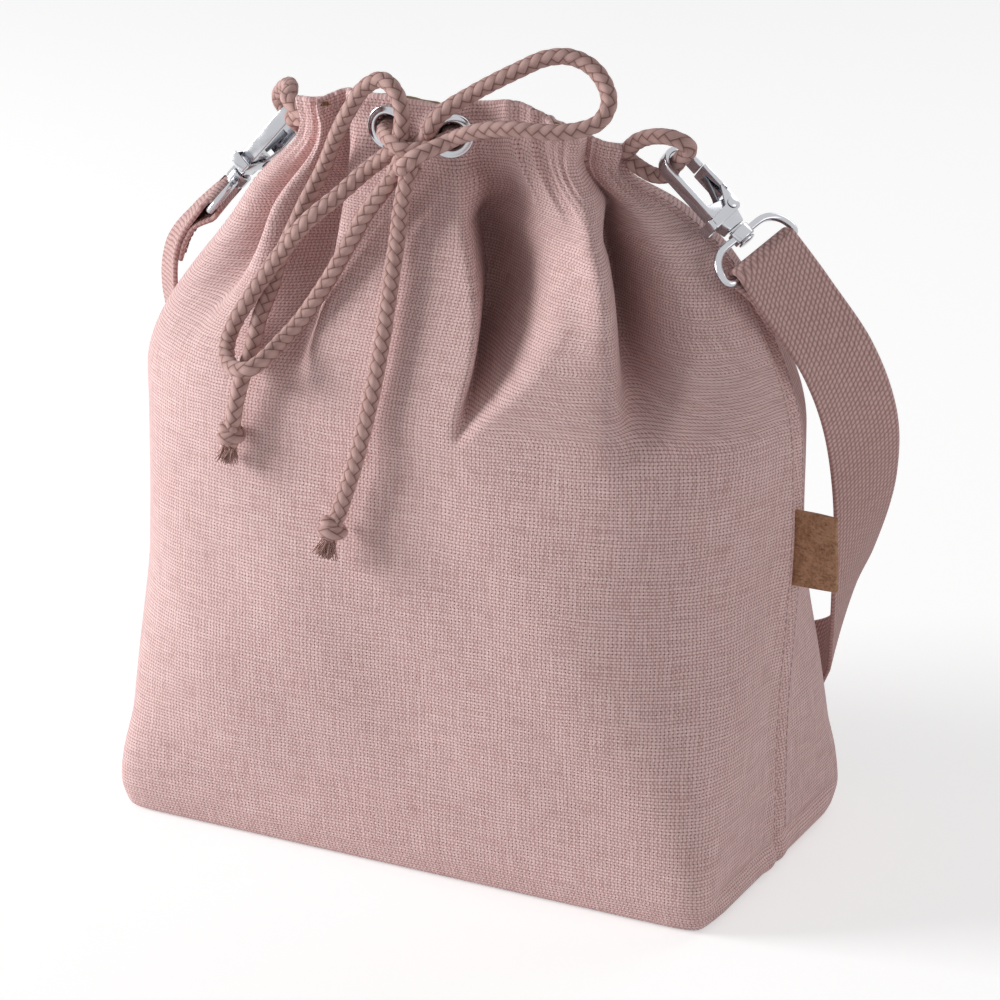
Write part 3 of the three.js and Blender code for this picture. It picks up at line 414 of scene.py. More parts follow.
# shared shapes; lengths below are millimetres, and buildPiece turns them into metres
def unit(rows):
    rows = np.asarray(rows, float)
    return rows / np.maximum(np.linalg.norm(rows, axis=-1, keepdims=True), 1e-12)


def smooth(value):
    t = np.clip(value, 0, 1)
    return t * t * (3 - 2 * t)


def bell(value):
    return np.exp(-np.square(value))


def ramp(value, start, span):  # 0 up to the start, 1 after the span
    return smooth((value - start) / span)


def fall(value, end, span):  # 1 until the span before the end, 0 after it
    return smooth((end - value) / span)


def hump(value, middle, width):
    return bell((value - middle) / width)


def gentleCurve(xs, ys):  # through every point, with no overshoot
    xs, ys = np.array(xs, float), np.array(ys, float)
    slopes = np.diff(ys) / np.diff(xs)
    tangents = np.concatenate([slopes[:1], np.zeros(len(xs) - 2), slopes[-1:]])
    for i in range(1, len(xs) - 1):
        a, b = slopes[i - 1], slopes[i]
        tangents[i] = 0 if a * b <= 0 else 2 * a * b / (a + b)

    def at(value):
        value = np.asarray(value, float)
        i = np.clip(np.searchsorted(xs, value) - 1, 0, len(xs) - 2)
        span = xs[i + 1] - xs[i]
        t = np.clip((value - xs[i]) / span, 0, 1)
        low = ys[i] * (1 + 2 * t) * (1 - t) ** 2 + tangents[i] * span * t * (1 - t) ** 2
        return low + ys[i + 1] * t * t * (3 - 2 * t) - tangents[i + 1] * span * t * t * (1 - t)
    return at


def smoothRoute(points, perSpan=24):  # centripetal curve through the points
    p = np.array(points, float)
    p = np.vstack([2 * p[0] - p[1], p, 2 * p[-1] - p[-2]])
    t = np.linspace(0, 1, perSpan, endpoint=False)[:, None]
    spans = []
    for a, b, c, d in zip(p, p[1:], p[2:], p[3:]):
        ab, bc, cd = (max(np.linalg.norm(n - m), 1e-9) ** 0.5 for m, n in ((a, b), (b, c), (c, d)))
        start = ((b - a) / ab - (c - a) / (ab + bc) + (c - b) / bc) * bc
        end = ((c - b) / bc - (d - b) / (bc + cd) + (d - c) / cd) * bc
        spans.append(b + start * t + (3 * (c - b) - 2 * start - end) * t ** 2 + (2 * (b - c) + start + end) * t ** 3)
    return np.vstack(spans + [p[-2:-1]])


def runOf(path):  # length along the path up to each point
    return np.concatenate([[0], np.cumsum(np.linalg.norm(np.diff(path, axis=0), axis=1))])


def evenSteps(path, step):
    run = runOf(path)
    at = np.linspace(0, run[-1], max(3, int(round(run[-1] / step)) + 1))
    return np.stack([np.interp(at, run, path[:, k]) for k in range(path.shape[1])], 1), at


def gridShell(points, uv, around=False, turned=False):
    rows, columns = points.shape[:2]
    r, c = np.meshgrid(np.arange(rows - 1), np.arange(columns if around else columns - 1), indexing="ij")
    r, c = r.ravel(), c.ravel()
    n = (c + 1) % columns
    faces = np.stack([r * columns + c, r * columns + n, (r + 1) * columns + n, (r + 1) * columns + c], 1)
    uvs = np.stack([uv[r, c], uv[r, c + 1], uv[r + 1, c + 1], uv[r + 1, c]], 1)
    if turned:
        faces, uvs = faces[:, ::-1], uvs[:, ::-1]
    return {"points": points.reshape(-1, 3), "faces": [tuple(f) for f in faces.tolist()], "uvs": uvs.reshape(-1, 2)}


def addEnds(shell, rows, sides, uv):  # flat faces over the first and the last ring
    for ring, corners in ((0, range(sides - 1, -1, -1)), (-1, range((rows - 1) * sides, rows * sides))):
        shell["faces"].append(tuple(corners))
        shell["uvs"] = np.vstack([shell["uvs"], np.tile(uv[ring, 0], (sides, 1))])
    return shell


def closedShell(points, turned=False):  # rings of points, the last joined to the first
    rows, sides = points.shape[:2]
    shell = gridShell(np.concatenate([points, points[:1]]), np.zeros((rows + 1, sides + 1, 2)), True, turned)
    count = rows * sides
    faces = [tuple(k % count for k in face) for face in shell["faces"]]
    return {**shell, "points": shell["points"][:count], "faces": faces}


def moved(shell, matrix):
    turn = np.array(matrix.to_3x3())
    return {**shell, "points": shell["points"] @ turn.T + np.array(matrix.translation)}


def buildPiece(name, shells, look, sharp=None):
    points, faces, uvs, first = [], [], [], 0
    for shell in shells:
        points.append(shell["points"])
        faces += [tuple(k + first for k in f) for f in shell["faces"]]
        uvs.append(shell["uvs"])
        first += len(shell["points"])
    mesh = bpy.data.meshes.new(name)
    mesh.from_pydata((np.vstack(points) * 0.001).tolist(), [], faces)
    mesh.uv_layers.new(name="surfaceMap").data.foreach_set("uv", np.vstack(uvs).astype(np.float32).ravel())
    mesh.shade_smooth()
    if sharp:
        mesh.set_sharp_from_angle(angle=math.radians(sharp))
    mesh.materials.append(looks[look])
    piece = bpy.data.objects.new(name, mesh)
    scene.collection.objects.link(piece)
    return piece


def fit(piece, body, slot, *nodes):
    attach(piece, body)
    if nodes:
        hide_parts(*nodes)
    return piece


def carriedFrames(path):  # a frame slid along the path without twisting
    ahead = unit(np.gradient(path, axis=0))
    side = np.zeros_like(path)
    side[0] = unit(np.cross(ahead[0], [0.31, 0.17, 0.93]))
    for i in range(1, len(path)):
        side[i] = unit(side[i - 1] - ahead[i] * side[i - 1].dot(ahead[i]))
    return ahead, side, np.cross(ahead, side)


def tubeShell(path, radii, uv):  # radii are rows x sides
    rows, sides = radii.shape
    ahead, side, other = carriedFrames(path)
    turn = np.linspace(0, 2 * np.pi, sides, endpoint=False)
    ring = side[:, None] * np.cos(turn)[None, :, None] + other[:, None] * np.sin(turn)[None, :, None]
    return addEnds(gridShell(path[:, None] + ring * radii[:, :, None], uv, around=True), rows, sides, uv)


# drawstring: 6 mm braid of eight strands, four each way round
cordBraid = {
    "radius": 3.0,
    "relief": 0.36,
    "lay": 17.5,  # mm of cord in which a strand goes once round
    "strands": 4,
    "sides": 40,
    "step": 0.5,
}
cordRoutes = {  # metres, as in the part's source
    "bowLoopRight": [
        (-0.0035, -0.0335, 0.2695), (0.0016, -0.031, 0.2768), (0.01, -0.0265, 0.283),
        (0.018, -0.0235, 0.288), (0.026, -0.02, 0.2925), (0.034, -0.0165, 0.2965), (0.042, -0.014, 0.2975),
        (0.05, -0.0135, 0.295), (0.056, -0.015, 0.29), (0.0595, -0.0185, 0.284), (0.058, -0.0235, 0.2785),
        (0.05, -0.028, 0.2755), (0.04, -0.031, 0.2748), (0.031, -0.0325, 0.275), (0.021, -0.033, 0.2738),
        (0.012, -0.0335, 0.271), (0.004, -0.033, 0.267),
    ],
    "bowLoopLeft": [
        (-0.0135, -0.0325, 0.2645), (-0.021, -0.032, 0.2582), (-0.028, -0.033, 0.2523),
        (-0.0356, -0.0383, 0.2444), (-0.0452, -0.0446, 0.235), (-0.0537, -0.0459, 0.2243),
        (-0.0608, -0.0484, 0.2138), (-0.0656, -0.0522, 0.205), (-0.0694, -0.0548, 0.1975),
        (-0.0709, -0.0583, 0.19), (-0.0648, -0.067, 0.1853), (-0.0553, -0.0702, 0.1861),
        (-0.0515, -0.066, 0.1892), (-0.0489, -0.0576, 0.1939), (-0.0449, -0.0528, 0.1995),
        (-0.036, -0.0465, 0.215), (-0.03, -0.0425, 0.2275), (-0.024, -0.0385, 0.24),
        (-0.0172, -0.0352, 0.2505), (-0.0136, -0.0326, 0.259),
    ],
    "tailShort": [
        (-0.0135, -0.034, 0.2665), (-0.013, -0.0333, 0.275), (-0.0165, -0.0315, 0.2823),
        (-0.023, -0.0295, 0.2853), (-0.03, -0.0295, 0.2815), (-0.036, -0.0295, 0.273),
        (-0.0415, -0.028, 0.264), (-0.0485, -0.027, 0.249), (-0.053, -0.0312, 0.238),
        (-0.0562, -0.0356, 0.2282), (-0.0594, -0.0398, 0.218), (-0.0609, -0.0437, 0.208),
        (-0.0617, -0.0507, 0.1991), (-0.061, -0.0575, 0.19), (-0.0615, -0.0635, 0.181),
        (-0.0633, -0.0658, 0.1715), (-0.0647, -0.0662, 0.163),
    ],
    "tailLong": [
        (-0.0086, -0.036, 0.258), (-0.0098, -0.0375, 0.25), (-0.011, -0.0382, 0.243),
        (-0.0114, -0.0403, 0.2325), (-0.0107, -0.0455, 0.2215), (-0.0096, -0.0515, 0.2105),
        (-0.0086, -0.0575, 0.1995), (-0.0086, -0.064, 0.185), (-0.0108, -0.0677, 0.1696),
        (-0.0144, -0.0695, 0.1545), (-0.0177, -0.071, 0.143), (-0.0191, -0.0727, 0.1372),
    ],
    "hookLoopRight": [
        (0.058, -0.0006, 0.2625), (0.0635, -0.0035, 0.2676), (0.0715, -0.006, 0.271), (0.079, -0.0066, 0.2713),
        (0.0834, -0.005, 0.2688), (0.0823, -0.0027, 0.2659), (0.0795, -0.0014, 0.2632), (0.0769, 0.0, 0.2605),
        (0.0744, 0.0014, 0.2577), (0.0712, 0.0024, 0.2548), (0.0672, 0.002, 0.2546), (0.0634, 0.001, 0.2564),
        (0.0588, 0.0004, 0.2592),
    ],
    "hookLoopLeft": [
        (-0.0692, -0.001, 0.2592), (-0.0788, 0.002, 0.2638), (-0.0806, 0.0065, 0.266), (-0.0845, 0.013, 0.266),
        (-0.0905, 0.019, 0.263), (-0.0946, 0.0225, 0.258), (-0.0938, 0.0238, 0.2544), (-0.09, 0.0245, 0.2512),
        (-0.0866, 0.0249, 0.2482), (-0.083, 0.0234, 0.2464), (-0.0808, 0.0185, 0.2476), (-0.0798, 0.0115, 0.2518),
        (-0.0788, 0.0045, 0.2565), (-0.0692, 0.001, 0.2572),
    ],
}


def braidShell(path, braid, radius=None, ease=None):  # path in mm
    path, run = evenSteps(path, braid["step"])
    sides, strands = braid["sides"], braid["strands"]
    turn = np.linspace(0, 1, sides + 1)
    lay = run / braid["lay"]
    a = strands * (turn[None, :] - lay[:, None])
    b = strands * (turn[None, :] + lay[:, None])
    step = (np.floor(a) + np.floor(b)) % 4  # two over, two under
    across = np.sin(np.pi * np.where(step < 2, a % 1, b % 1))
    along = np.sin(np.pi * (step % 2 + np.where(step < 2, b % 1, a % 1)) / 2)
    crown = across ** 0.5 * along ** 0.5
    size = braid["radius"] if radius is None else radius
    radii = (size - braid["relief"] * (1 - crown)) * (1 if ease is None else ease(run, run[-1])[:, None])
    uv = np.stack(np.broadcast_arrays(turn[None, :], lay[:, None]), -1)
    return tubeShell(path, radii[:, :sides], uv), path


def routeCurve(route):
    return smoothRoute(np.array(cordRoutes[route]) * 1000)


def cordPiece(name, route):
    shell, path = braidShell(routeCurve(route), cordBraid)
    return buildPiece(name, [shell], "cord"), path


def addCord(name, route, node):
    piece, path = cordPiece(name, route)
    fit(piece, "bag", "cord", node)
    float(runOf(path)[-1]) * 0.001
    return path


# overhand knot with a frayed tuft at the end of each tail
tailKnot = {
    "core": 2.7,
    "wrapRadius": 2.5,
    "wrapReach": 2.9,
    "wrapTurns": 1.35,
    "wrapFrom": 1.6,
    "wrapTo": 6.6,
    "coreEnd": 9.8,
    "tuftSink": 1.2,
}
tuft = {
    "Strands": 150,
    "Length": 0.0062,
    "Width": 0.0022,
    "Spread": 0.3,
    "Thickness": 0.0004,
    "Seed": 5,
}


def geometryTree(name, inputs):
    tree = bpy.data.node_groups.new(name, "GeometryNodeTree")
    tree.interface.new_socket("Geometry", in_out="INPUT", socket_type="NodeSocketGeometry")
    kinds = {int: "NodeSocketInt", float: "NodeSocketFloat", str: "NodeSocketMaterial"}
    for label, kind in inputs:
        tree.interface.new_socket(label, in_out="INPUT", socket_type=kinds[kind])
    tree.interface.new_socket("Geometry", in_out="OUTPUT", socket_type="NodeSocketGeometry")
    bench = NodeBench(tree)
    return bench, bench.node("NodeGroupInput")


def closeTree(bench, start, geometry):
    whole = bench.node("GeometryNodeRealizeInstances", None, {"Geometry": geometry})
    whole = bench.node("GeometryNodeSetShadeSmooth", None, {"Geometry": whole})
    whole = bench.node("GeometryNodeSetMaterial", None, {"Geometry": whole, "Material": start.out("Material")})
    bench.node("NodeGroupOutput", None, {0: whole})
    return bench.tree


def frayTree():
    bench, start = geometryTree("frayedEnd", [
        ("Strands", int), ("Length", float), ("Width", float), ("Spread", float), ("Thickness", float), ("Seed", int),
        ("Material", str),
    ])
    width, spread, length, seed = (start.out(label) for label in ("Width", "Spread", "Length", "Seed"))
    scatter = lambda low, high, draw: bench.node(
        "FunctionNodeRandomValue", {"data_type": "FLOAT_VECTOR"}, {0: low, 1: high, "Seed": draw})
    place = scatter(bench.vector(0 - width, 0 - width), bench.vector(width, width), seed)
    tilt = scatter(
        bench.vector(0 - spread, 0 - spread, -math.pi), bench.vector(spread, spread, math.pi), seed + 3)
    size = bench.node(
        "FunctionNodeRandomValue", {"data_type": "FLOAT"}, {2: 0.72, 3: 1.1, "Seed": seed + 7}, output=1)
    points = bench.node("GeometryNodePoints", None, {"Count": start.out("Strands"), "Position": place})
    line = bench.node("GeometryNodeCurveQuadraticBezier", None, {
        "Resolution": 5,
        "Start": (0.0, 0.0, 0.0),
        "Middle": bench.vector(length * 0.02, 0.0, length * 0.5),
        "End": bench.vector(length * 0.2, 0.0, length),
    })
    profile = bench.node(
        "GeometryNodeCurvePrimitiveCircle", None, {"Resolution": 4, "Radius": start.out("Thickness") * 0.5})
    strand = bench.node("GeometryNodeCurveToMesh", None, {"Curve": line, "Profile Curve": profile, "Fill Caps": True})
    spreadOut = bench.node(
        "GeometryNodeInstanceOnPoints", None, {"Points": points, "Instance": strand, "Rotation": tilt, "Scale": size})
    return closeTree(bench, start, spreadOut)


def stitchTree():
    bench, start = geometryTree(
        "threadStitches", [("Pitch", float), ("Length", float), ("Thickness", float), ("Material", str)])
    line = bench.node("GeometryNodeMeshToCurve", None, {"Mesh": start})
    places = bench.node("GeometryNodeCurveToPoints", {"mode": "LENGTH"}, {"Curve": line, "Length": start.out("Pitch")})
    bead = bench.node("GeometryNodeMeshUVSphere", None, {"Segments": 6, "Rings": 5, "Radius": 0.5})
    size = bench.vector(start.out("Thickness"), start.out("Thickness"), start.out("Length"))
    stitch = bench.node("GeometryNodeTransform", None, {"Geometry": bead, "Scale": size})
    laid = bench.node(
        "GeometryNodeInstanceOnPoints", None,
        {"Points": places, "Instance": stitch, "Rotation": places.out("Rotation")})
    return closeTree(bench, start, laid)


trees = {"fray": frayTree(), "stitch": stitchTree()}


def grown(name, tree, inputs, look, paths=()):  # object made by a tree, as a plain mesh
    mesh = bpy.data.meshes.new(name)
    points, edges = [], []
    for path in paths:
        edges += [(len(points) + i, len(points) + i + 1) for i in range(len(path) - 1)]
        points += (np.asarray(path) * 0.001).tolist()
    mesh.from_pydata(points, edges, [])
    piece = bpy.data.objects.new(name, mesh)
    scene.collection.objects.link(piece)
    modifier = piece.modifiers.new("grown", "NODES")
    modifier.node_group = trees[tree]
    for item in trees[tree].interface.items_tree:
        if item.item_type == "SOCKET" and item.in_out == "INPUT" and item.name != "Geometry":
            modifier[item.identifier] = looks[look] if item.name == "Material" else inputs[item.name]
    piece.data = bpy.data.meshes.new_from_object(piece.evaluated_get(bpy.context.evaluated_depsgraph_get()))
    piece.data.name = name
    piece.modifiers.clear()
    return piece


def axisFrame(origin, axis):  # local +Z along the axis
    turn = Vector(axis).to_track_quat("Z", "Y").to_matrix().to_4x4()
    return Matrix.Translation(Vector(origin)) @ turn


def tailEnd(name, route, node):
    path, k = routeCurve(route), tailKnot
    last, axis = path[-1], unit(path[-1] - path[-8])
    place = axisFrame(last, axis)
    core = np.linspace(-0.4, k["coreEnd"], 24)
    coreShell, _ = braidShell(
        np.stack([0.5 * np.sin(core * 0.5), 0.3 * np.cos(core * 0.6) - 0.3, core], 1), cordBraid, k["core"],
        lambda run, whole: 1 - 0.25 * smooth((run - whole + 3) / 3))
    t = np.linspace(0, 1, 90)
    reach = k["wrapReach"] * smooth(t / 0.14) * smooth((1 - t) / 0.14)
    turn = 2 * np.pi * k["wrapTurns"] * t + 0.6
    climb = k["wrapFrom"] + (k["wrapTo"] - k["wrapFrom"]) * t
    wrapShell, _ = braidShell(
        np.stack([reach * np.cos(turn), reach * np.sin(turn), climb], 1), cordBraid, k["wrapRadius"])
    knot = buildPiece(name, [moved(coreShell, place), moved(wrapShell, place)], "cord")
    fit(knot, "bag", "cord", node)
    fray = grown(name + "Tuft", "fray", tuft, "frayYarn")
    fray.data.transform(axisFrame((last + axis * (k["coreEnd"] - k["tuftSink"])) * 0.001, axis))
    fit(fray, "bag", "cord")
    return knot, fray


shortEnd = tailEnd("tailShortKnot", "tailShort", "tail_short_knot")
longEnd = tailEnd("tailLongKnot", "tailLong", "tail_long_knot")
addCord("bowLoopRightCord", "bowLoopRight", "bow_loop_right")
addCord("bowLoopLeftCord", "bowLoopLeft", "bow_loop_left")
addCord("tailShortCord", "tailShort", "tail_short")
addCord("tailLongCord", "tailLong", "tail_long")

for side, route, start, end in (
    ("Right", "hookLoopRight", (0.062, 0, 0.262), (0.0765, 0, 0.262)),
    ("Left", "hookLoopLeft", (-0.0795, 0.006, 0.262), (-0.089, 0.022, 0.255)),
):
    loop, _ = cordPiece("strapLoop" + side, route)
    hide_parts("strap_loop_" + side.lower())
    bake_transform(loop)
print("cords: 4 free, 2 sewn loops, 2 end knots")


# bag cloth: level outlines from the boxed base to the drawn mouth, gathered towards a flat pillar
bagCloth = {
    "levels": (0, 12, 40, 100, 165, 227, 265, 276),
    "widths": (238, 243, 242, 246, 253, 189, 130, 132),
    "depths": (125, 132, 135, 138, 129, 74, 42, 44),
    "squareness": (26, 20, 8, 3.2, 2.5, 2.5, 3, 3),
    "panelHalf": 178.0,
    "gather": (150.0, 115.0),  # start and span in height
    "mouthShift": -10.0,
    "thick": 1.2,
    "hemThick": 2.2,
    "hem": (250.0, 6.0),  # start and span in height
    "edgeRound": 2.6,
    "baseLap": 12.0,
    "lapHalf": 99.0,
    "lapEase": 0.3,
    "seamGap": 0.15,
    "columns": 300,
    "outlineSteps": 1201,
    "innerSquareness": 9.0,  # at most, for foam and liner
    "innerSpread": 8.0,  # folds of foam and liner are wider by this
    "uvStretch": 2.4,  # keeps fold walls from shearing the weave
    # fold depth at which the painted shade in the folds is at full strength
    "paintedShadeDepth": 26.0,
    "tuck": 0.5,
    "tuckTop": (250.0, 16.0),  # end and span in height
}
# place across the panel low down and at the mouth, half width on the left and right, depth,
# start height, rise, climb of the start across the panel, share of the depth left at the mouth,
# height and span in which the place changes
frontFolds = (
    (31, 15, 3.0, 30, 33, 168, 34, 1.05, 0.25, 185, 55),
    (84, 106, 15, 8, -8, 186, 40, 0, 0.5, 232, 26),
    (102, 130, 8, 16, 24, 160, 56, 0, 0.25, 232, 26),
    (108, 136, 12, 36, 8, 150, 60, 0, 0.3, 232, 26),
    (-47, -47, 24, 8, 16, 172, 40, -0.75, 0.4, 232, 26),
    (-108, -108, 20, 11, 19, 178, 50, 0, 0.35, 232, 26),
    (-84, -84, 14, 14, -6, 196, 40, 0, 0.6, 232, 26),
)
tuckedFolds = frontFolds[0], frontFolds[2]
backFolds = tuple((at, at, 18, 18, 11, 178, 60, 0, 0.4, 232, 26) for at in (-120, -62, 0, 58, 115))
foldFade = {"heights": (222.0, 43.0), "edge": 12.0}
halfWidthAt = gentleCurve(bagCloth["levels"], np.array(bagCloth["widths"]) / 2)
halfDepthAt = gentleCurve(bagCloth["levels"], np.array(bagCloth["depths"]) / 2)
squarenessAt = gentleCurve(bagCloth["levels"], bagCloth["squareness"])
leanAt = gentleCurve((0, 165, 227, 265), (0, -3.4, -5.6, -10))
gatherAt = gentleCurve((-1, -46 / 356, 46 / 356, 1), (0, 0.335, 0.64, 1))


def shiftAt(z):
    return leanAt(z) + 5.6 * ramp(z, 165, 62) * (1 - ramp(z, 227, 38))


def foldDepth(u, z, folds, spread=0.0):  # spread widens the folds of inner layers
    depth = np.zeros_like(u)
    for low, high, left, right, deep, foot, rise, climb, top, driftFrom, driftSpan in folds:
        at = low + (high - low) * ramp(z, driftFrom, driftSpan)
        across = bell((u - at) / (np.where(u < at, left, right) + (spread if deep > 0 else 0)))
        ease = 1 - (1 - top) * ramp(z, *foldFade["heights"])
        depth += deep * across * smooth((z - foot - climb * (u - at)) / rise) * ease
    return depth * fall(np.abs(u), bagCloth["panelHalf"], foldFade["edge"])


# the tied mouth sinks behind the eyelets, most of all at the back, and towards both ends
settling = {
    "heights": (240.0, 36.0),  # start and span
    "back": 17.0,
    "backRange": (-16.0, 34.0),  # in Y
    "rise": 7.0,  # a hump left standing in the back
    "risePlace": (12.0, 14.0),  # middle and width in X
    "endRange": (28.0, 36.0),
    "rightEnd": 0.55,
    "leftEnd": 0.4,
    "bunch": 5.5,  # cloth bunched up beside the right eyelet
    "bunchPlace": (30.0, 15.0),
    "leftPinch": 8.5,
    "pinchRange": (232.0, 33.0),
    "pinchEdge": (40.0, 28.0),
}


def settle(points):
    points = np.array(points, float)
    x, y, z = points[..., 0], points[..., 1], points[..., 2]
    back = ramp(y, *settling["backRange"])
    along = x - bagCloth["mouthShift"]
    end = ramp(np.abs(along), *settling["endRange"]) * np.where(along > 0, settling["rightEnd"], settling["leftEnd"])
    drop = (settling["back"] - settling["rise"] * back * hump(x, *settling["risePlace"])) * (1 - (1 - back) * (1 - end))
    drop = drop - settling["bunch"] * (1 - back) * hump(x, *settling["bunchPlace"])
    points[..., 2] = z - drop * ramp(z, *settling["heights"])
    points[..., 0] = x + settling["leftPinch"] * ramp(z, *settling["pinchRange"]) * ramp(-x, *settling["pinchEdge"])
    return points


# what is added to the plain shape: hem pleats, soft waves, seam ridges and boxed corners
draping = {
    "pillar": (46.0, 12.0),  # half width and edge of the flat part under the eyelets
    "pleat": 0.85,
    "pleatPitch": 17.5,
    "finePitch": 9.7,
    "hem": (236.0, 26.0),  # start and span in height
    "lip": (266.0, 9.0),
    "bodyLow": (14.0, 30.0),
    "bodyHigh": (236.0, 40.0),
    "seamTop": (262.0, 8.0),
    "corner": (58.0, 14.0),  # reach and edge of the boxed corner along the panel
}


def drape(u, z, front):
    edge = bagCloth["panelHalf"] - np.abs(u)
    pillar = fall(np.abs(u), *draping["pillar"]) if front else 0 * u
    waves = np.sin(2 * np.pi * (u / draping["pleatPitch"] + 0.5 * np.sin(u / 31)))
    waves += 0.5 * np.sin(2 * np.pi * u / draping["finePitch"] + 1.0 + z / 40)
    out = (1.4 + waves) * draping["pleat"] * ramp(z, *draping["hem"]) * (1 - pillar) * smooth(edge / 8)
    out += ramp(z, *draping["lip"]) * (0.7 + 0.6 * np.sin(u / 6.3 + 0.6 * np.sin(u / 13))) * (1 - 0.8 * pillar)
    soft = 0.7 * np.sin(u / 27 + z / 33 + 1.3) + 0.5 * np.sin(u / 17 - z / 29 + 0.4) + 0.25 * np.sin(u / 9 + z / 16)
    out += ramp(z, *draping["bodyLow"]) * fall(z, *draping["bodyHigh"]) * soft
    out += 2.0 * ramp(u, 112, 50) * hump(z, 222, 22)  # right shoulder
    out += 3.6 * np.where(u > 0, bell(edge / 11), 0) * hump(z, 120, 55)  # right seam stands out
    out += fall(z, *draping["seamTop"]) * (0.9 * hump(edge, 5, 3.4) - 1.1 * bell(edge / 1.5))
    roll = 1.7 * hump(z, 4.5, 3.6) - 1.4 * hump(z, 11.5, 2.0) * ramp(z, 3, 4)
    out += fall(edge, *draping["corner"]) * roll
    if front:
        out += -3.2 * hump(u, -5, 45) * hump(z, 150, 22)  # shallow dent in the middle
    return out


def halfOutline(wide, deep, power, steps):  # half a rounded rectangle from left to right, and its length
    turn = np.linspace(0, np.pi, steps)
    x = -wide * np.sign(np.cos(turn)) * np.abs(np.cos(turn)) ** (2 / power)
    y = deep * np.abs(np.sin(turn)) ** (2 / power)
    y[0] = y[-1] = 0
    run = runOf(np.stack([x, y], -1))
    return lambda distance: np.stack([np.interp(distance, run, x), np.interp(distance, run, y)], -1), run[-1]


def clothRow(z, u, front, inset=0.0, dressed=True):
    slopeX = halfWidthAt(z + 1) - halfWidthAt(z)
    slopeY = halfDepthAt(z + 1) - halfDepthAt(z)
    wide = halfWidthAt(z) - inset * min(2, math.hypot(1, slopeX))
    deep = halfDepthAt(z) - inset * min(2, math.hypot(1, slopeY))
    power = squarenessAt(z) if inset == 0 else min(squarenessAt(z), bagCloth["innerSquareness"])
    at, whole = halfOutline(wide, deep, power, bagCloth["outlineSteps"])
    share = (u / bagCloth["panelHalf"] + 1) / 2
    drawn = ramp(z, *bagCloth["gather"]) if front else 0.0
    along = (share + (gatherAt(u / bagCloth["panelHalf"]) - share) * drawn) * whole
    ahead = unit(at(along + 1.6) - at(along - 1.6))
    out = np.stack([-ahead[:, 1], ahead[:, 0]], -1)
    spread = bagCloth["innerSpread"] if inset else 0.0
    push = -foldDepth(u, z, frontFolds if front else backFolds, spread)
    if dressed:
        push = push + drape(u, z, front)
        if inset == 0 and z < bagCloth["edgeRound"]:
            r = bagCloth["edgeRound"]
            push = push - (r - math.sqrt(max(0, r * r - (r - z) ** 2)))
    flat = at(along) + out * push[:, None]
    if front:  # two deep folds tuck in behind the cloth to their left
        tuck = bagCloth["tuck"] * foldDepth(u, z, tuckedFolds, spread)
        flat[:, 0] -= tuck * fall(z, *bagCloth["tuckTop"])
    side = -1 if front else 1
    return np.stack([flat[:, 0] + shiftAt(z), side * flat[:, 1], np.full_like(u, z)], -1)


def gridNormals(grid):
    return unit(np.cross(np.gradient(grid, axis=1), np.gradient(grid, axis=0)))


def acrossAt(x, z):  # place across the front panel that has this X
    low, high = -bagCloth["panelHalf"], bagCloth["panelHalf"]
    for _ in range(50):
        middle = (low + high) / 2
        low, high = (low, middle) if clothRow(z, np.array([middle]), True, 0, False)[0, 0] > x else (middle, high)
    return (low + high) / 2


eyelets = {
    "middleX": -12.7,
    "spacing": 25.0,
    "height": 265.8,
    "flange": 8.0,
    "hole": 4.7,
    "cut": 5.1,  # radius of the hole in the cloth
    "pressed": (12.0, 3.6),  # reach of the pressed cloth and its edge
    "near": 14.0,  # cloth further than this along the axis belongs to the other side
    "segments": 72,
}


def eyeletFrame(sign):
    x, probe = eyelets["middleX"] + sign * eyelets["spacing"] / 2, eyelets["flange"] * 0.75

    def at(dx, dz):
        z = eyelets["height"] + dz
        return np.array([x + dx, clothRow(z, np.array([acrossAt(x + dx, z)]), True, 0, False)[0, 1], z])
    axis = unit(np.cross(at(probe, 0) - at(-probe, 0), at(0, probe) - at(0, -probe)))
    return at(0, 0), axis


eyeletFrames = {"left": eyeletFrame(-1), "right": eyeletFrame(1)}


def eyeletReach(points, middle, axis):  # distance along an eyelet's axis and away from it
    lift = (points - middle) @ axis
    return lift, np.linalg.norm(points - middle - lift[..., None] * axis, axis=-1)


def pressFlat(grid):  # cloth pressed between flange and washer
    for middle, axis in eyeletFrames.values():
        lift, away = eyeletReach(grid, middle, axis)
        flat = fall(away, *eyelets["pressed"]) * (np.abs(lift) < eyelets["near"])
        grid = grid - (lift * flat)[..., None] * axis
    return grid


def holeCells(grid):  # quads of the cloth inside an eyelet's hole
    middles = (grid[:-1, :-1] + grid[1:, 1:]) / 2
    inside = np.zeros(middles.shape[:2], bool)
    for middle, axis in eyeletFrames.values():
        lift, away = eyeletReach(middles, middle, axis)
        inside |= (away < eyelets["cut"]) & (np.abs(lift) < eyelets["near"])
    return inside


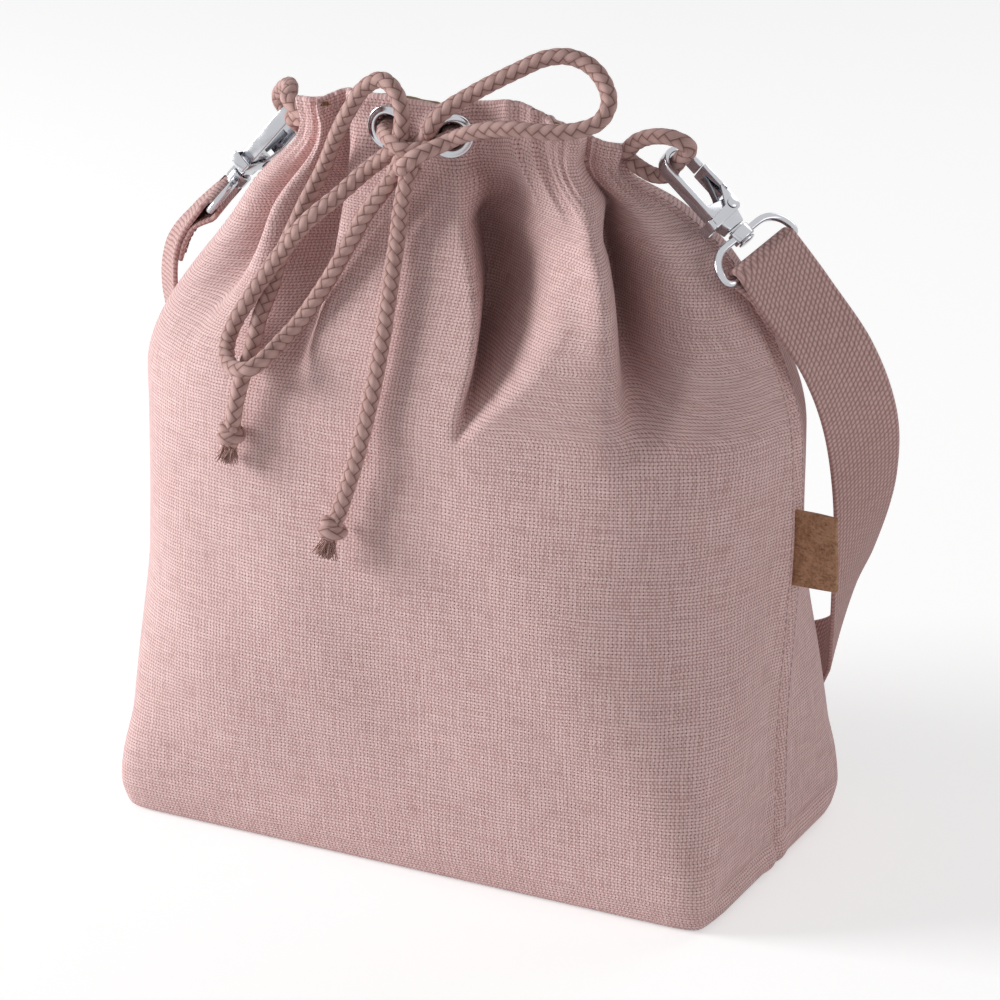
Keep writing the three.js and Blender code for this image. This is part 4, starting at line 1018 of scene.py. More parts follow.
# closed cloth: face, rolled top edge and back, with bridged holes; facing out where grid normals do
def clothShell(face, back, uv, turned, holes=None):
    rows, columns = face.shape[:2]
    middle, half = (face[-1] + back[-1]) / 2, (face[-1] - back[-1]) / 2
    rise = np.linalg.norm(half, axis=1)[:, None] * np.array([0, 0, 1.0])
    roll = [middle + half * math.cos(t) + rise * math.sin(t) for t in (math.pi / 4, math.pi / 2, 3 * math.pi / 4)]
    loop = np.concatenate([face, roll, back[::-1]])
    uvLoop = np.concatenate([uv, np.repeat(uv[-1:], 3, 0), uv[::-1]])
    count = len(loop)
    r, c = np.meshgrid(np.arange(count), np.arange(columns - 1), indexing="ij")
    keep = np.ones(r.shape, bool)
    bridges = []
    if holes is not None:
        keep[:rows - 1] &= ~holes
        keep[count - rows:count - 1] &= ~holes[::-1]
        index = lambda row, column, layer: (row if layer == 0 else count - 1 - row) * columns + column
        grid = np.pad(holes, 1)
        for i, j in np.argwhere(holes):
            for di, dj, p, q in (
                (-1, 0, (i, j + 1), (i, j)), (1, 0, (i + 1, j), (i + 1, j + 1)),
                (0, -1, (i, j), (i + 1, j)), (0, 1, (i + 1, j + 1), (i, j + 1)),
            ):
                if not grid[i + 1 + di, j + 1 + dj]:
                    bridges.append((index(*p, 0), index(*q, 0), index(*q, 1), index(*p, 1)))
    r, c = r[keep], c[keep]
    n = (r + 1) % count
    quads = np.stack([r * columns + c, r * columns + c + 1, n * columns + c + 1, n * columns + c], 1)
    quadUv = np.stack([uvLoop[r, c], uvLoop[r, c + 1], uvLoop[n, c + 1], uvLoop[n, c]], 1)
    ends = [tuple(range((count - 1) * columns, -1, -columns)), tuple(range(columns - 1, count * columns, columns))]
    faces = [tuple(f) for f in quads.tolist()] + bridges + ends
    tail = [np.tile(uv[0, 0], (4 * len(bridges), 1)), uvLoop[::-1, 0], uvLoop[:, -1]]
    if turned:
        faces, quadUv = [f[::-1] for f in faces], quadUv[:, ::-1]
    return {"points": loop.reshape(-1, 3), "faces": faces, "uvs": np.vstack([quadUv.reshape(-1, 2)] + tail)}


def slabShell(outline, low, high):  # flat plate with a level outline, anticlockwise from above
    n = len(outline)
    points = np.vstack([np.column_stack([outline, np.full(n, low)]), np.column_stack([outline, np.full(n, high)])])
    faces = [(i, (i + 1) % n, n + (i + 1) % n, n + i) for i in range(n)]
    faces += [tuple(range(n - 1, -1, -1)), tuple(range(n, 2 * n))]
    flat = points[:, :2]
    return {"points": points, "faces": faces, "uvs": np.vstack([flat[list(f)] for f in faces])}


def clothUv(grid, u):  # lengths along the cloth from the middle column and up from the base
    upward = np.linalg.norm(np.diff(grid, axis=0), axis=2).cumsum(axis=0)
    rise = np.concatenate([np.zeros((1, grid.shape[1])), upward])
    across = np.minimum(np.linalg.norm(np.diff(grid, axis=1), axis=2), bagCloth["uvStretch"] * np.diff(u))
    run = np.concatenate([np.zeros((len(grid), 1)), np.cumsum(across, axis=1)], 1)
    run = run - run[:, len(u) // 2][:, None]
    return np.stack(np.broadcast_arrays(run, rise.mean(1)[:, None]), -1)


lowRows = [0, 0.35, 0.8, 1.4, 2.2, 3.2, 4.5, 6, 7.5, 9, 10.5, 12, 13.5]
canvasRows = np.array(lowRows + list(np.arange(15.5, 150, 2.4)) + list(np.arange(150, 276.2, 1.5)))
panelU = np.linspace(-bagCloth["panelHalf"] + 0.08, bagCloth["panelHalf"] - 0.08, bagCloth["columns"] + 1)


def basePlate(front, low, high, inset, lap):  # half of a base, with a lap past the middle if it has one
    row = clothRow(low if inset else 0.0, panelU, front, inset)[:, :2]
    reach, near, far = bagCloth["lapHalf"], -bagCloth["seamGap"], lap
    if not front:
        reach, near, far = -reach - bagCloth["lapEase"], -near, lap + bagCloth["lapEase"]
    edge = [[(reach, near), (reach, far), (-reach, far), (-reach, near)]] if lap else []
    return slabShell(np.vstack([row if front else row[::-1]] + edge), low, high)


def markPaintedShade(piece, face, front):  # how deep in a fold each point of the cloth lies, kept as the mask for painted shade in the folds
    folds = frontFolds if front else backFolds
    depth = np.stack([foldDepth(panelU, z, folds) for z in canvasRows]).ravel()
    tree = KDTree(len(depth))
    for index, point in enumerate(face.reshape(-1, 3) / 1000):
        tree.insert(point, index)
    tree.balance()
    nearest = [tree.find(vertex.co)[1] for vertex in piece.data.vertices]
    paintedCreaseShade = smooth(depth[nearest] / bagCloth["paintedShadeDepth"])
    piece.data.attributes.new("paintedCreaseShade", "FLOAT", "POINT").data.foreach_set("value", paintedCreaseShade)


def addCanvas(name, front, node):
    face = np.stack([clothRow(z, panelU, front) for z in canvasRows])
    face = settle(pressFlat(face) if front else face)
    uv = clothUv(face, panelU)
    normals = gridNormals(face) * (1 if front else -1)
    hem = ramp(canvasRows, *bagCloth["hem"])[:, None, None]
    back = face - normals * (bagCloth["thick"] + (bagCloth["hemThick"] - bagCloth["thick"]) * hem)
    back[:, 0], back[:, -1] = face[:, 0], face[:, -1]
    back[:, [0, -1], 0] -= np.sign(face[:, [0, -1], 0]) * bagCloth["thick"]
    back[..., 2] = np.maximum(back[..., 2], 0.05)
    wall = clothShell(face, back, uv, not front, holeCells(face) if front else None)
    base = basePlate(front, 0.0, bagCloth["thick"], 0.0, bagCloth["baseLap"])
    piece = buildPiece(name, [wall, base], "canvas", 60)
    markPaintedShade(piece, face, front)
    return fit(piece, "bag", "canvas", node), face, back


canvasFront, frontFace, frontBack = addCanvas("canvasFront", True, "outer_front_panel")
canvasBack, backFace, backBack = addCanvas("canvasBack", False, "outer_back_panel")
print("canvas:", len(canvasFront.data.polygons) + len(canvasBack.data.polygons), "faces")

innerLayers = {
    "columns": 120,
    "foamInset": 1.9,  # also the height of the foam's foot
    "foamThick": 3.0,
    "foamTop": 180.0,
    "foamBaseInset": 5.8,
    "linerFloor": 5.6,
    "linerThick": 0.6,
    "linerBaseInset": 6.4,
    "linerTop": {True: 184.0, False: 245.0},  # deep folds of the front stop it lower
}


def layerShell(front, heights, inset, thick):
    half = bagCloth["panelHalf"] - 0.1
    u = np.linspace(-half, half, innerLayers["columns"] + 1)
    face = np.stack([clothRow(z, u, front, inset(z)) for z in heights])
    back = np.stack([clothRow(z, u, front, inset(z) + thick) for z in heights])
    return clothShell(face, back, clothUv(face, u), not front)


def addInnerLayers():
    k = innerLayers
    foot, floor = k["foamInset"], k["linerFloor"]
    linerInset = gentleCurve((0, 12, 400), (6.2, 5.6, 5.6))
    foamRows = np.concatenate([[foot, 4, 8], np.arange(12, k["foamTop"] + 1, 4)])
    for label, front in (("Front", True), ("Back", False)):
        foam = layerShell(front, foamRows, lambda z: foot, k["foamThick"])
        piece = buildPiece("foam" + label, [foam], "foam", 60)
        fit(piece, "bag", "foam", "foam_" + label.lower())
        linerRows = np.concatenate([[floor, 8, 12], np.arange(16, k["linerTop"][front] + 1, 3.0)])
        liner = layerShell(front, linerRows, lambda z: float(linerInset(z)), k["linerThick"])
        half = basePlate(front, floor, floor + k["linerThick"], k["linerBaseInset"], 0)
        fit(buildPiece("foil" + label, [liner, half], "foil", 60), "bag", "liner", "liner_" + label.lower())
    frontEdge, backEdge = (clothRow(foot, panelU, front, k["foamBaseInset"])[:, :2] for front in (True, False))
    base = slabShell(np.vstack([frontEdge, backEdge[::-1]])[::3], foot, foot + k["foamThick"])
    fit(buildPiece("foamBase", [base], "foam", 60), "bag", "foam", "foam_base")


addInnerLayers()

# hem strips: inside of the channel, turned out at the top to meet the mouth's edge
hemStrip = {
    "halfWidth": 54.1,
    "halfDepth": 7.2,
    "power": 3,
    "reach": 170.0,  # along the panel, to each side
    "columns": 180,
    "low": 256.0,
    "high": 270.0,
    "rows": 10,
    "turnRows": 9,
    "clear": 0.4,
    "topGap": 0.6,
    "thick": 0.8,
}


def addHemStrip(name, front, node, canvasInside):
    k, half = hemStrip, bagCloth["panelHalf"]
    u = np.linspace(-k["reach"], k["reach"], k["columns"] + 1)
    share = gatherAt(u / half) if front else (u / half + 1) / 2
    at, whole = halfOutline(k["halfWidth"], k["halfDepth"], k["power"], 801)
    x, y = at(share * whole).T
    ripple = 0.35 * np.sin(u / 4.1) + 0.25 * np.sin(u / 2.7 + 1)
    y = np.maximum(np.maximum(y, k["clear"]) + ripple, k["clear"]) * (-1 if front else 1)
    last = len(panelU) - 1
    top = canvasInside[-1][np.clip(np.round((u + half) / (2 * half) * last).astype(int), 0, last)]
    rows = []
    for z in np.linspace(k["low"], k["high"], k["rows"]):
        rows.append(settle(np.stack([x + bagCloth["mouthShift"], y, np.full_like(u, z)], -1)))
    edge = rows[-1]
    for turn in np.linspace(0.1, 1, k["turnRows"]) * math.pi / 2:
        flat = edge + (top - edge) * (1 - math.cos(turn))
        flat[:, 2] = edge[:, 2] + (top[:, 2] - k["topGap"] - edge[:, 2]) * math.sin(turn)
        rows.append(flat)
    grid = np.stack(rows)
    normals = gridNormals(grid) * (1 if front else -1)
    shell = clothShell(grid, grid - normals * k["thick"], clothUv(grid, u), not front)
    return fit(buildPiece(name, [shell], "facing", 60), "bag", "facing", node)


addHemStrip("hemStripFront", True, "channel_facing_front", frontBack)
addHemStrip("hemStripBack", False, "channel_facing_back", backBack)
print("foam, foil lining and hem strips made")


# eyelets: rolled flange in front, rolled rim and washer behind
def latheShell(profile, segments):  # (radius, height) pairs round +Z, closed
    profile = np.array(profile[::-1], float)
    turn = np.linspace(0, 2 * np.pi, segments, endpoint=False)
    height = np.repeat(profile[:, 1:], segments, 1)
    return closedShell(np.stack([profile[:, :1] * np.cos(turn), profile[:, :1] * np.sin(turn), height], -1))


def arc(x, y, radius, start, end, count):
    turn = np.radians(np.linspace(start, end, count))
    return [(x + radius * math.cos(t), y + radius * math.sin(t)) for t in turn]


flangeProfile = (
    [(eyelets["hole"], -3.0), (eyelets["hole"], 0.2)] + arc(5.75, 0.35, 1.05, 180, 68, 9) + [(6.9, 1.12), (7.55, 0.86)]
    + arc(7.6, 0.5, 0.4, 60, -70, 6) + [(7.2, 0.12), (5.4, 0.1), (5.3, -2.3)]
    + [(6.2, -2.5), (6.5, -2.8), (6.2, -3.15), (5.2, -3.2)]
)
washerProfile = [(5.6, -1.5), (7.6, -1.4)] + arc(7.7, -1.7, 0.3, 70, -90, 5) + [(5.6, -2.1)]
for side, (middle, axis) in eyeletFrames.items():
    for name, node, profile in (
        ("eyelet", "eyelet_", flangeProfile), ("eyeletWasher", "eyelet_washer_", washerProfile),
    ):
        shell = moved(latheShell(profile, eyelets["segments"]), axisFrame(middle, axis))
        fit(buildPiece(name + side.title(), [shell], "nickel", 50), "bag", "nickel", node + side)


# held run of the drawstring: round the channel, out of one eyelet, across the front and in at the other
heldRun = {"halfWidth": 57.8, "halfDepth": 10.9, "power": 3, "height": 265.8, "frontLeft": 0.18, "frontRight": 0.3}


def heldRoute():
    outline, whole = halfOutline(heldRun["halfWidth"], heldRun["halfDepth"], heldRun["power"], 801)

    def at(share, side):
        x, y = outline(share * whole)
        return tuple(settle([x + bagCloth["mouthShift"], side * y, heldRun["height"]]))

    def through(side, out, slide):
        middle, axis = eyeletFrames[side]
        return tuple(middle + axis * out + np.array([slide, 0, 0]))
    route = [at(s, 1) for s in np.linspace(0.5, 0.03, 9)]
    route += [at(s, -1) for s in np.linspace(0, heldRun["frontLeft"], 6)]
    route += [through("left", -4.5, -0.3), through("left", 2.6, 0.2), through("left", 8.5, 3.6)]
    route += [(-15.6, -35.2, 265.2), (-9.6, -36.4, 263.2)]
    route += [through("right", 8.5, -3.6), through("right", 2.6, -0.2), through("right", -4.5, 0.3)]
    route += [at(1 - s, -1) for s in np.linspace(heldRun["frontRight"], 0, 8)]
    route += [at(s, 1) for s in np.linspace(0.97, 0.505, 9)]
    return smoothRoute(route)


runShell, _ = braidShell(heldRoute(), cordBraid)
fit(buildPiece("drawstringHeld", [runShell], "cord"), "bag", "cord", "drawstring_run")

# turns of cord that make the bow's knot behind and over the crossing strand
knotTurns = (
    ((6.5, -33.2, 268.2), (1.5, -36.6, 265.6), (-4.2, -40.2, 262.6), (-8.6, -40.4, 258.8), (-11.6, -36.6, 256.6),
     (-13.6, -32, 257.5)),
    ((-13.3, -33.6, 271.5), (-13.6, -31.6, 266.0), (-11.6, -29.6, 261.0), (-9.2, -32.0, 256.4), (-8.7, -36.0, 255.5)),
    ((-2.0, -32.8, 271.4), (-5.6, -31.2, 266.6), (-9.6, -30.2, 263.2), (-14.2, -30.6, 261.0), (-19.2, -32.0, 259.4)),
    ((-12.2, -33.6, 263.0), (-13.2, -33.2, 258.0), (-15.6, -34.4, 252.8)),
)
turns = [braidShell(smoothRoute(t), cordBraid)[0] for t in knotTurns]
fit(buildPiece("bowKnot", turns, "cord"), "bag", "cord", "bow_knot")
print("eyelets, held cord and knot made")


# cork tag folded in two, its ends held in the right side seam
corkTag = {
    "layer": 0.72,
    "gap": 0.16,  # between the two layers
    "fold": 0.8,  # outer radius of the fold
    "shift": 3.6,  # further out than the solid
    "lowTrim": 2.2,
    "highTrim": 0.4,
    "buried": 2.2,  # length of the ends inside the seam
    "swell": 0.12,
    "bow": 0.5,
    "lean": 1.1,
    "rows": 25,
}


def addTag():
    k = corkTag
    low, high = (np.array(corner) * 1000 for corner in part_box("side_tag"))
    root, tip, end = low[0] + k["shift"], high[0] + k["shift"], low[0] + k["shift"] - k["buried"]
    layer, gap, r = k["layer"], k["gap"], k["fold"]

    def flank(side, shares):
        return [(root + (tip - r - root) * t, side * (r + k["swell"] * math.sin(t * math.pi))) for t in shares]
    outer = [(end, -r)] + flank(-1, np.linspace(0.1, 1, 10)) + arc(tip - r, 0, r, -78, 78, 13)
    outer += flank(1, np.linspace(1, 0.1, 10)) + [(end, r)]
    inner = [(end, r - layer), (tip - r * 1.1, gap), (tip - r * 0.7, 0.0), (tip - r * 1.1, -gap), (end, layer - r)]
    section = np.array(outer + inner)
    share = np.clip((section[:, 0] - root) / (tip - root), 0, 1) ** 2
    rows = []
    for t in np.linspace(0, 1, k["rows"]):
        z = low[2] + k["lowTrim"] + (high[2] + k["highTrim"] - low[2] - k["lowTrim"]) * t
        bend = k["bow"] * math.sin(t * math.pi * 1.3 + 0.4) - k["lean"] * t
        rows.append(np.column_stack([section[:, 0], section[:, 1] + bend * share, np.full(len(section), z)]))
    uv = np.zeros((len(rows), len(section) + 1, 2))
    shell = addEnds(gridShell(np.stack(rows), uv, around=True), len(rows), len(section), uv)
    return fit(buildPiece("corkTag", [shell], "cork", 50), "bag", "cork", "side_tag")


addTag()

# hooks, gates, swivels and rings, in each hook's own frame: +Y hub to eye, +X gate side, Z across the strip
hookPlaces = {
    "right": {
        "hub": (100.2, 0, 239.7), "eye": (-0.747, 0, 0.665), "gate": (0.227, 0.94, 0.255), "bar": (0.31, 0.884, 0.35),
    },
    "left": {
        "hub": (-109.3, 19.5, 228), "eye": (0.633, 0.166, 0.759),
        "gate": (0.016, 0.975, -0.223), "bar": (-0.282, 0.959, 0.028),
    },
}
hookSize = {
    "length": 36.7,
    "halfWidth": 6.8,
    "strip": 2.0,
    "depth": 5.5,
    "foot": 11.0,
    "footHalf": 4.6,
    "noseDrop": 5.0,
    "rivet": (3.6, 8.0),
    "rivetRadius": 1.3,
    "rivetHead": 2.1,
    "gap": 0.3,
    "cheek": 0.8,
    "cheekRadius": 2.9,
    "tabReach": 9.2,
    "tabHeight": 4.2,
    "bevel": 0.45,
    "gateBevel": 0.4,
    "cheekBevel": 0.25,
    "springWide": 2.6,
    "springThick": 0.4,
}
postProfile = (
    (0.02, 0.7), (3.0, 0.7), (3.0, 0.3), (2.2, 0.3), (2.2, -4.7),
    (3.2, -4.72), (3.4, -4.95), (3.3, -5.35), (2.4, -5.75), (0.02, -5.9),
)


def frameOf(place, lineName):
    eye = Vector(place["eye"]).normalized()
    line = Vector(place[lineName])
    line = (line - eye * line.dot(eye)).normalized()
    third = line.cross(eye)
    return Matrix.Translation(place["hub"]) @ Matrix((line, eye, third)).transposed().to_4x4()


def plateShell(outline, depth, bevel, lift=0.0, segments=3):  # flat shape with softened edges
    mesh = bmesh.new()
    low = [mesh.verts.new((x, y, lift - depth / 2)) for x, y in outline]
    high = [mesh.verts.new((x, y, lift + depth / 2)) for x, y in outline]
    count = len(outline)
    mesh.faces.new(low[::-1])
    mesh.faces.new(high)
    for i in range(count):
        mesh.faces.new((low[i], low[(i + 1) % count], high[(i + 1) % count], high[i]))
    bmesh.ops.recalc_face_normals(mesh, faces=mesh.faces)
    mesh.edges.ensure_lookup_table()
    sharp = [e for e in mesh.edges if e.calc_face_angle(0) > 0.6]
    bmesh.ops.bevel(
        mesh, geom=sharp, offset=bevel, segments=segments, profile=0.5, affect="EDGES", clamp_overlap=True)
    mesh.verts.index_update()
    points = np.array([v.co[:] for v in mesh.verts])
    faces = [tuple(v.index for v in f.verts) for f in mesh.faces]
    mesh.free()
    return {"points": points, "faces": faces, "uvs": np.zeros((sum(len(f) for f in faces), 2))}


def addHook(side):
    size, place = hookSize, hookPlaces[side]
    hookPlace, ringPlace = frameOf(place, "gate"), frameOf(place, "bar")
    hookBody, gateBody = "hook_" + side, "gate_" + side
    stand = Matrix.Rotation(-math.pi / 2, 4, "X")  # lathe axis to +Y

    def hookPiece(name, shells, look="nickel", sharp=40):
        return buildPiece(name + side.title(), [moved(shell, hookPlace) for shell in shells], look, sharp)

    # body: a strip bent over the crown, open on the gate's side
    half, foot, footHalf = size["halfWidth"], size["foot"], size["footHalf"]
    inner, crown = half - size["strip"], size["length"] - half
    noseEnd = crown - size["noseDrop"]
    rx, ry = size["rivet"]
    outline = [(-footHalf, 1), (footHalf - 1.6, 1), (footHalf + 0.6, ry - 1), (footHalf, foot), (-inner, foot + 1.5)]
    outline += arc(0, crown, inner, 180, 0, 22) + [(inner, noseEnd), (half, noseEnd)]
    outline += arc(0, crown, half, 0, 180, 26) + [(-half, foot - 2)]
    body = plateShell(outline, size["depth"], size["bevel"])
    fit(hookPiece("hookBody", [body]), hookBody, "nickel", "hook_body_" + side)

    # gate: bar, two cheeks on the rivet and a thumb tab
    cheekIn, cheek, bend = size["depth"] / 2 + size["gap"], size["cheek"], size["cheekRadius"]
    gateTop, gateFoot, gateIn = noseEnd - size["gap"], foot + 1.6, inner + 0.2
    wide, tabX, tabY = 2 * (cheekIn + cheek), -size["tabReach"], size["tabHeight"]
    bar = [(gateIn, gateFoot), (half, gateFoot), (half, gateTop), (gateIn, gateTop)]
    outline = [(half, gateFoot + 3), (gateIn, gateFoot + 3), (rx - bend, ry + 1)]
    outline += [(tabX, tabY + 3.4), (tabX, tabY), (rx - 1, ry - bend)] + arc(rx, ry, bend, -70, 10, 8)
    tab = [(tabX - 1.2, tabY), (-half - 1.2, tabY + 0.6), (-half - 1.2, tabY + 3.2), (tabX - 1.2, tabY + 4)]
    shells = [plateShell(bar, wide, size["gateBevel"])]
    shells += [plateShell(outline, cheek, size["cheekBevel"], lift * (cheekIn + cheek / 2), 2) for lift in (-1, 1)]
    shells += [plateShell(tab, wide, size["gateBevel"])]
    fit(hookPiece("hookGate", shells), gateBody, "nickel", "hook_gate_" + side)

    # rivet with a domed head on both ends
    reach, head, r = cheekIn + cheek + size["gap"], size["rivetHead"], size["rivetRadius"]
    dome = [(0.02, -reach - 0.7)]
    dome += [(head * math.sin(t), -reach - 0.7 * math.cos(t)) for t in np.linspace(0.25, 1.5, 6)]
    profile = dome + [(r, -reach), (r, reach)] + [(x, -y) for x, y in dome[::-1]]
    rivet = moved(latheShell(profile, 40), Matrix.Translation((rx, ry, 0)))
    fit(hookPiece("gateRivet", [rivet], sharp=50), hookBody, "nickel", "gate_rivet_" + side)

    # leaf spring from the foot to the gate's bar
    low, bearing = foot + size["gap"] + 1.4, gateIn - size["gap"]
    leaf = [(footHalf - 3.2, low - 0.6), (footHalf - 2.2, low - 0.6), (bearing, low + 7), (bearing, low + 9)]
    leaf += [(bearing - size["springThick"], low + y) for y in (9, 7.2)] + [(footHalf - 3.2, low)]
    spring = hookPiece("gateSpring", [plateShell(leaf, size["springWide"], 0.1, segments=2)], "spring")
    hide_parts("gate_spring_" + side)
    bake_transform(spring)

    post = moved(latheShell(postProfile, 40), stand)
    fit(hookPiece("swivelPost", [post]), hookBody, "nickel", "swivel_post_" + side)
    fit(ringPiece("swivelRing" + side.title(), ringPlace, stand), "strap", "nickel", "swivel_ring_" + side)
    bar = ringPlace @ Vector((0, -ringSize["depth"], 0))
    return np.array(bar), np.array(ringPlace.to_3x3().col[0]), -np.array(Vector(place["eye"]).normalized())


ringSize = {
    "wire": 2.8,
    "depth": 13.4,
    "inside": 33.0,
    "shoulder": 9.0,
    "corner": 2.2,
    "collar": 4.2,
    "collarHeight": 4.4,
    "bore": 2.5,
    "sides": 28,
}


def ringPiece(name, place, stand):
    shoulder, corner = ringSize["shoulder"], ringSize["corner"]
    half, top, bottom = (ringSize["inside"] + ringSize["wire"]) / 2, -ringSize["collarHeight"] / 2, -ringSize["depth"]
    wide, narrow = half - shoulder, half - corner
    right = [(0, top), (wide / 2, top)] + arc(wide, top - shoulder, shoulder, 90, 0, 7)
    right += arc(narrow, bottom + corner, corner, 0, -90, 5) + [(narrow / 2, bottom), (0, bottom)]
    loop = right + [(-x, y) for x, y in right[-2:0:-1]]
    path = smoothRoute([(x, y, 0) for x, y in loop + loop[:3]])[24:-24]
    path, _ = evenSteps(path, 0.5)
    ahead = unit(np.roll(path, -1, 0) - np.roll(path, 1, 0))
    out, up = np.cross(ahead, [0, 0, 1.0]), np.array([0, 0, 1.0])
    turn = np.linspace(0, 2 * np.pi, ringSize["sides"], endpoint=False)
    flatTop = smooth((path[:, 1] + 6.2) / 3.4)[:, None]  # the top bar is flattened, the rest is round wire
    square = 1 / np.maximum(np.abs(np.cos(turn)) ** 4 + np.abs(np.sin(turn)) ** 4, 1e-6) ** 0.25
    radii = ringSize["wire"] / 2 * ((1 - flatTop) + flatTop * square[None, :] * 0.94)
    around = out[:, None] * np.cos(turn)[None, :, None] + up * np.sin(turn)[None, :, None]
    wire = closedShell(path[:, None] + radii[..., None] * around, turned=True)
    c, h, bore = ringSize["collar"] - 0.4, ringSize["collarHeight"], ringSize["bore"]
    profile = [(bore, 0), (c, 0)] + arc(c, -0.4, 0.4, 90, 0, 4) + arc(c, -h + 0.4, 0.4, 0, -90, 4) + [(bore, -h)]
    collar = moved(latheShell(profile, 48), stand)
    return buildPiece(name, [moved(wire, place), moved(collar, place)], "nickel", 40)


bars = {side: addHook(side) for side in ("right", "left")}
print("hooks and rings made")


# shoulder strap: 30 mm webbing, lapped back round each ring's bar and sewn
strap = {
    "width": 30.0,
    "thick": 2.0,
    "lap": 25.0,
    "wrap": 3.0,
    "step": 0.8,
    "acrossSteps": 18,
    "turnSteps": 16,
    "lapEase": 12.0,
    "lapApart": 1.06,  # distance of the lap from the strap, in thicknesses
    "stitchInset": 3.0,
    "stitchLift": 0.1,
    "stitchRows": (2, 17),  # rows from each end that the box seam covers
}
strapRoute = (  # middle of the webbing in metres, then the line across it
    (0.1219, 0.006, 0.215, 0.4, 0.86, 0.3), (0.1335, 0.014, 0.1932, 0.5, 0.83, 0.12),
    (0.1386, 0.024, 0.1686, 0.53, 0.84, 0), (0.136, 0.038, 0.138, 0.42, 0.89, 0.12),
    (0.1256, 0.055, 0.0982, 0.16, 0.89, 0.42), (0.1182, 0.066, 0.0789, 0.02, 0.8, 0.6),
    (0.11, 0.0775, 0.0595, -0.06, 0.68, 0.73), (0.098, 0.0865, 0.046, 0, 0.5, 0.86),
    (0.055, 0.09, 0.035, 0, 0.33, 0.94), (0, 0.091, 0.031, 0, 0.3, 0.95), (-0.055, 0.09, 0.035, 0, 0.33, 0.94),
    (-0.1, 0.086, 0.047, 0, 0.5, 0.86), (-0.121, 0.073, 0.067, -0.02, 0.72, 0.69),
    (-0.134, 0.055, 0.098, -0.16, 0.87, 0.45), (-0.143, 0.04, 0.132, -0.38, 0.9, 0.15),
    (-0.1475, 0.0295, 0.16, -0.62, 0.77, 0.15), (-0.142, 0.0205, 0.187, -0.58, 0.76, 0.3),
    (-0.132, 0.017, 0.206, -0.3, 0.92, 0.2),
)


def strapLine():
    (barR, alongR, awayR), (barL, alongL, awayL) = bars["right"], bars["left"]
    normalR, normalL = unit(np.cross(alongR, awayR)), unit(np.cross(alongL, awayL))
    rows = np.array(strapRoute)
    points = np.vstack([barR - normalR * strap["wrap"], rows[:, :3] * 1000, barL + normalL * strap["wrap"]])
    across = np.vstack([alongR, unit(rows[:, 3:]), alongL])
    both, _ = evenSteps(smoothRoute(np.hstack([points, across * 12])), strap["step"])
    return both[:, :3], unit(both[:, 3:]), normalR, normalL


def ribbonShell(line, across, run):
    half, t = strap["width"] / 2, strap["thick"] / 2
    ahead = unit(np.gradient(line, axis=0))
    across = unit(across - ahead * np.sum(across * ahead, axis=1)[:, None])
    normal = np.cross(ahead, across)
    flat = np.linspace(-half + t, half - t, strap["acrossSteps"])
    edge = [(t * math.cos(a), t * math.sin(a)) for a in np.radians(np.linspace(-90, 90, 7))[1:-1]]
    section = [(w, -t) for w in flat] + [(half - t + x, y) for x, y in edge]
    section += [(w, t) for w in flat[::-1]] + [(-half + t - x, y) for x, y in edge[::-1]]
    section = np.array(section)
    grid = line[:, None] + across[:, None] * section[None, :, :1] + normal[:, None] * section[None, :, 1:]
    wrapped = np.append(section[:, 0], section[0, 0])
    uv = np.stack(np.broadcast_arrays(wrapped[None, :] + 20, run[:, None]), -1)
    return addEnds(gridShell(grid, uv, around=True), len(line), len(section), uv), normal


def addStrap():
    line, across, normalR, normalL = strapLine()
    w, steps = strap["wrap"], strap["turnSteps"]

    # the end goes half round the bar and lies back on the strap
    def turnedEnd(bar, along, away, normal, sign, main, mainAcross):
        angles = np.linspace(np.pi / 2, -np.pi / 2, steps)
        wrap = [bar - away * w * math.cos(a) + sign * normal * w * math.sin(a) for a in angles]
        face = unit(np.cross(unit(np.gradient(main, axis=0)), mainAcross))
        face = face * np.sign(np.sum(face * (-sign * normal), axis=1))[:, None]
        reach = runOf(main)
        count = int(np.searchsorted(reach, strap["lap"]))
        apart = 2 * w + (strap["thick"] * strap["lapApart"] - 2 * w) * smooth(reach[1:count] / strap["lapEase"])
        lap = main[1:count] + face[1:count] * apart[:, None]
        return np.vstack([wrap[1:], lap]), np.vstack([np.tile(along, (steps - 1, 1)), mainAcross[1:count]])

    endR, acrossR = turnedEnd(*bars["right"], normalR, -1, line, across)
    endL, acrossL = turnedEnd(*bars["left"], normalL, 1, line[::-1], across[::-1])
    whole = np.vstack([endR[::-1], line, endL])
    wholeAcross = np.vstack([acrossR[::-1], across, acrossL])
    shell, normal = ribbonShell(whole, wholeAcross, runOf(whole))
    fit(buildPiece("strapWebbing", [shell], "webbing", 60), "strap", "webbing", "strap_webbing")
    return whole, wholeAcross, normal


strapWhole, strapAcross, strapNormal = addStrap()

# box stitches that hold the two laps
strapStitch = {"Pitch": 0.0026, "Length": 0.0021, "Thickness": 0.0006}


def boxStitch(name, rows):
    line, across, normal = strapWhole[rows], strapAcross[rows], strapNormal[rows]
    inset, lift = strap["width"] / 2 - strap["stitchInset"], strap["thick"] / 2 + strap["stitchLift"]
    at = lambda k, w: line[k] + across[k] * w + normal[k] * lift
    count = len(line)
    paths = [[at(k, side * inset) for k in range(count)] for side in (-1, 1)]
    paths += [[at(k, w) for w in np.linspace(-inset, inset, 16)] for k in (0, count - 1)]
    paths += [[at(k, side * (inset - 2 * inset * k / (count - 1))) for k in range(count)] for side in (-1, 1)]
    return fit(grown(name, "stitch", strapStitch, "webbingThread", paths), "strap", "webbing")


stitchFrom, stitchTo = strap["stitchRows"]
boxStitch("strapStitchRight", slice(stitchFrom, stitchTo))
boxStitch("strapStitchLeft", slice(len(strapWhole) - stitchTo, len(strapWhole) - stitchFrom))

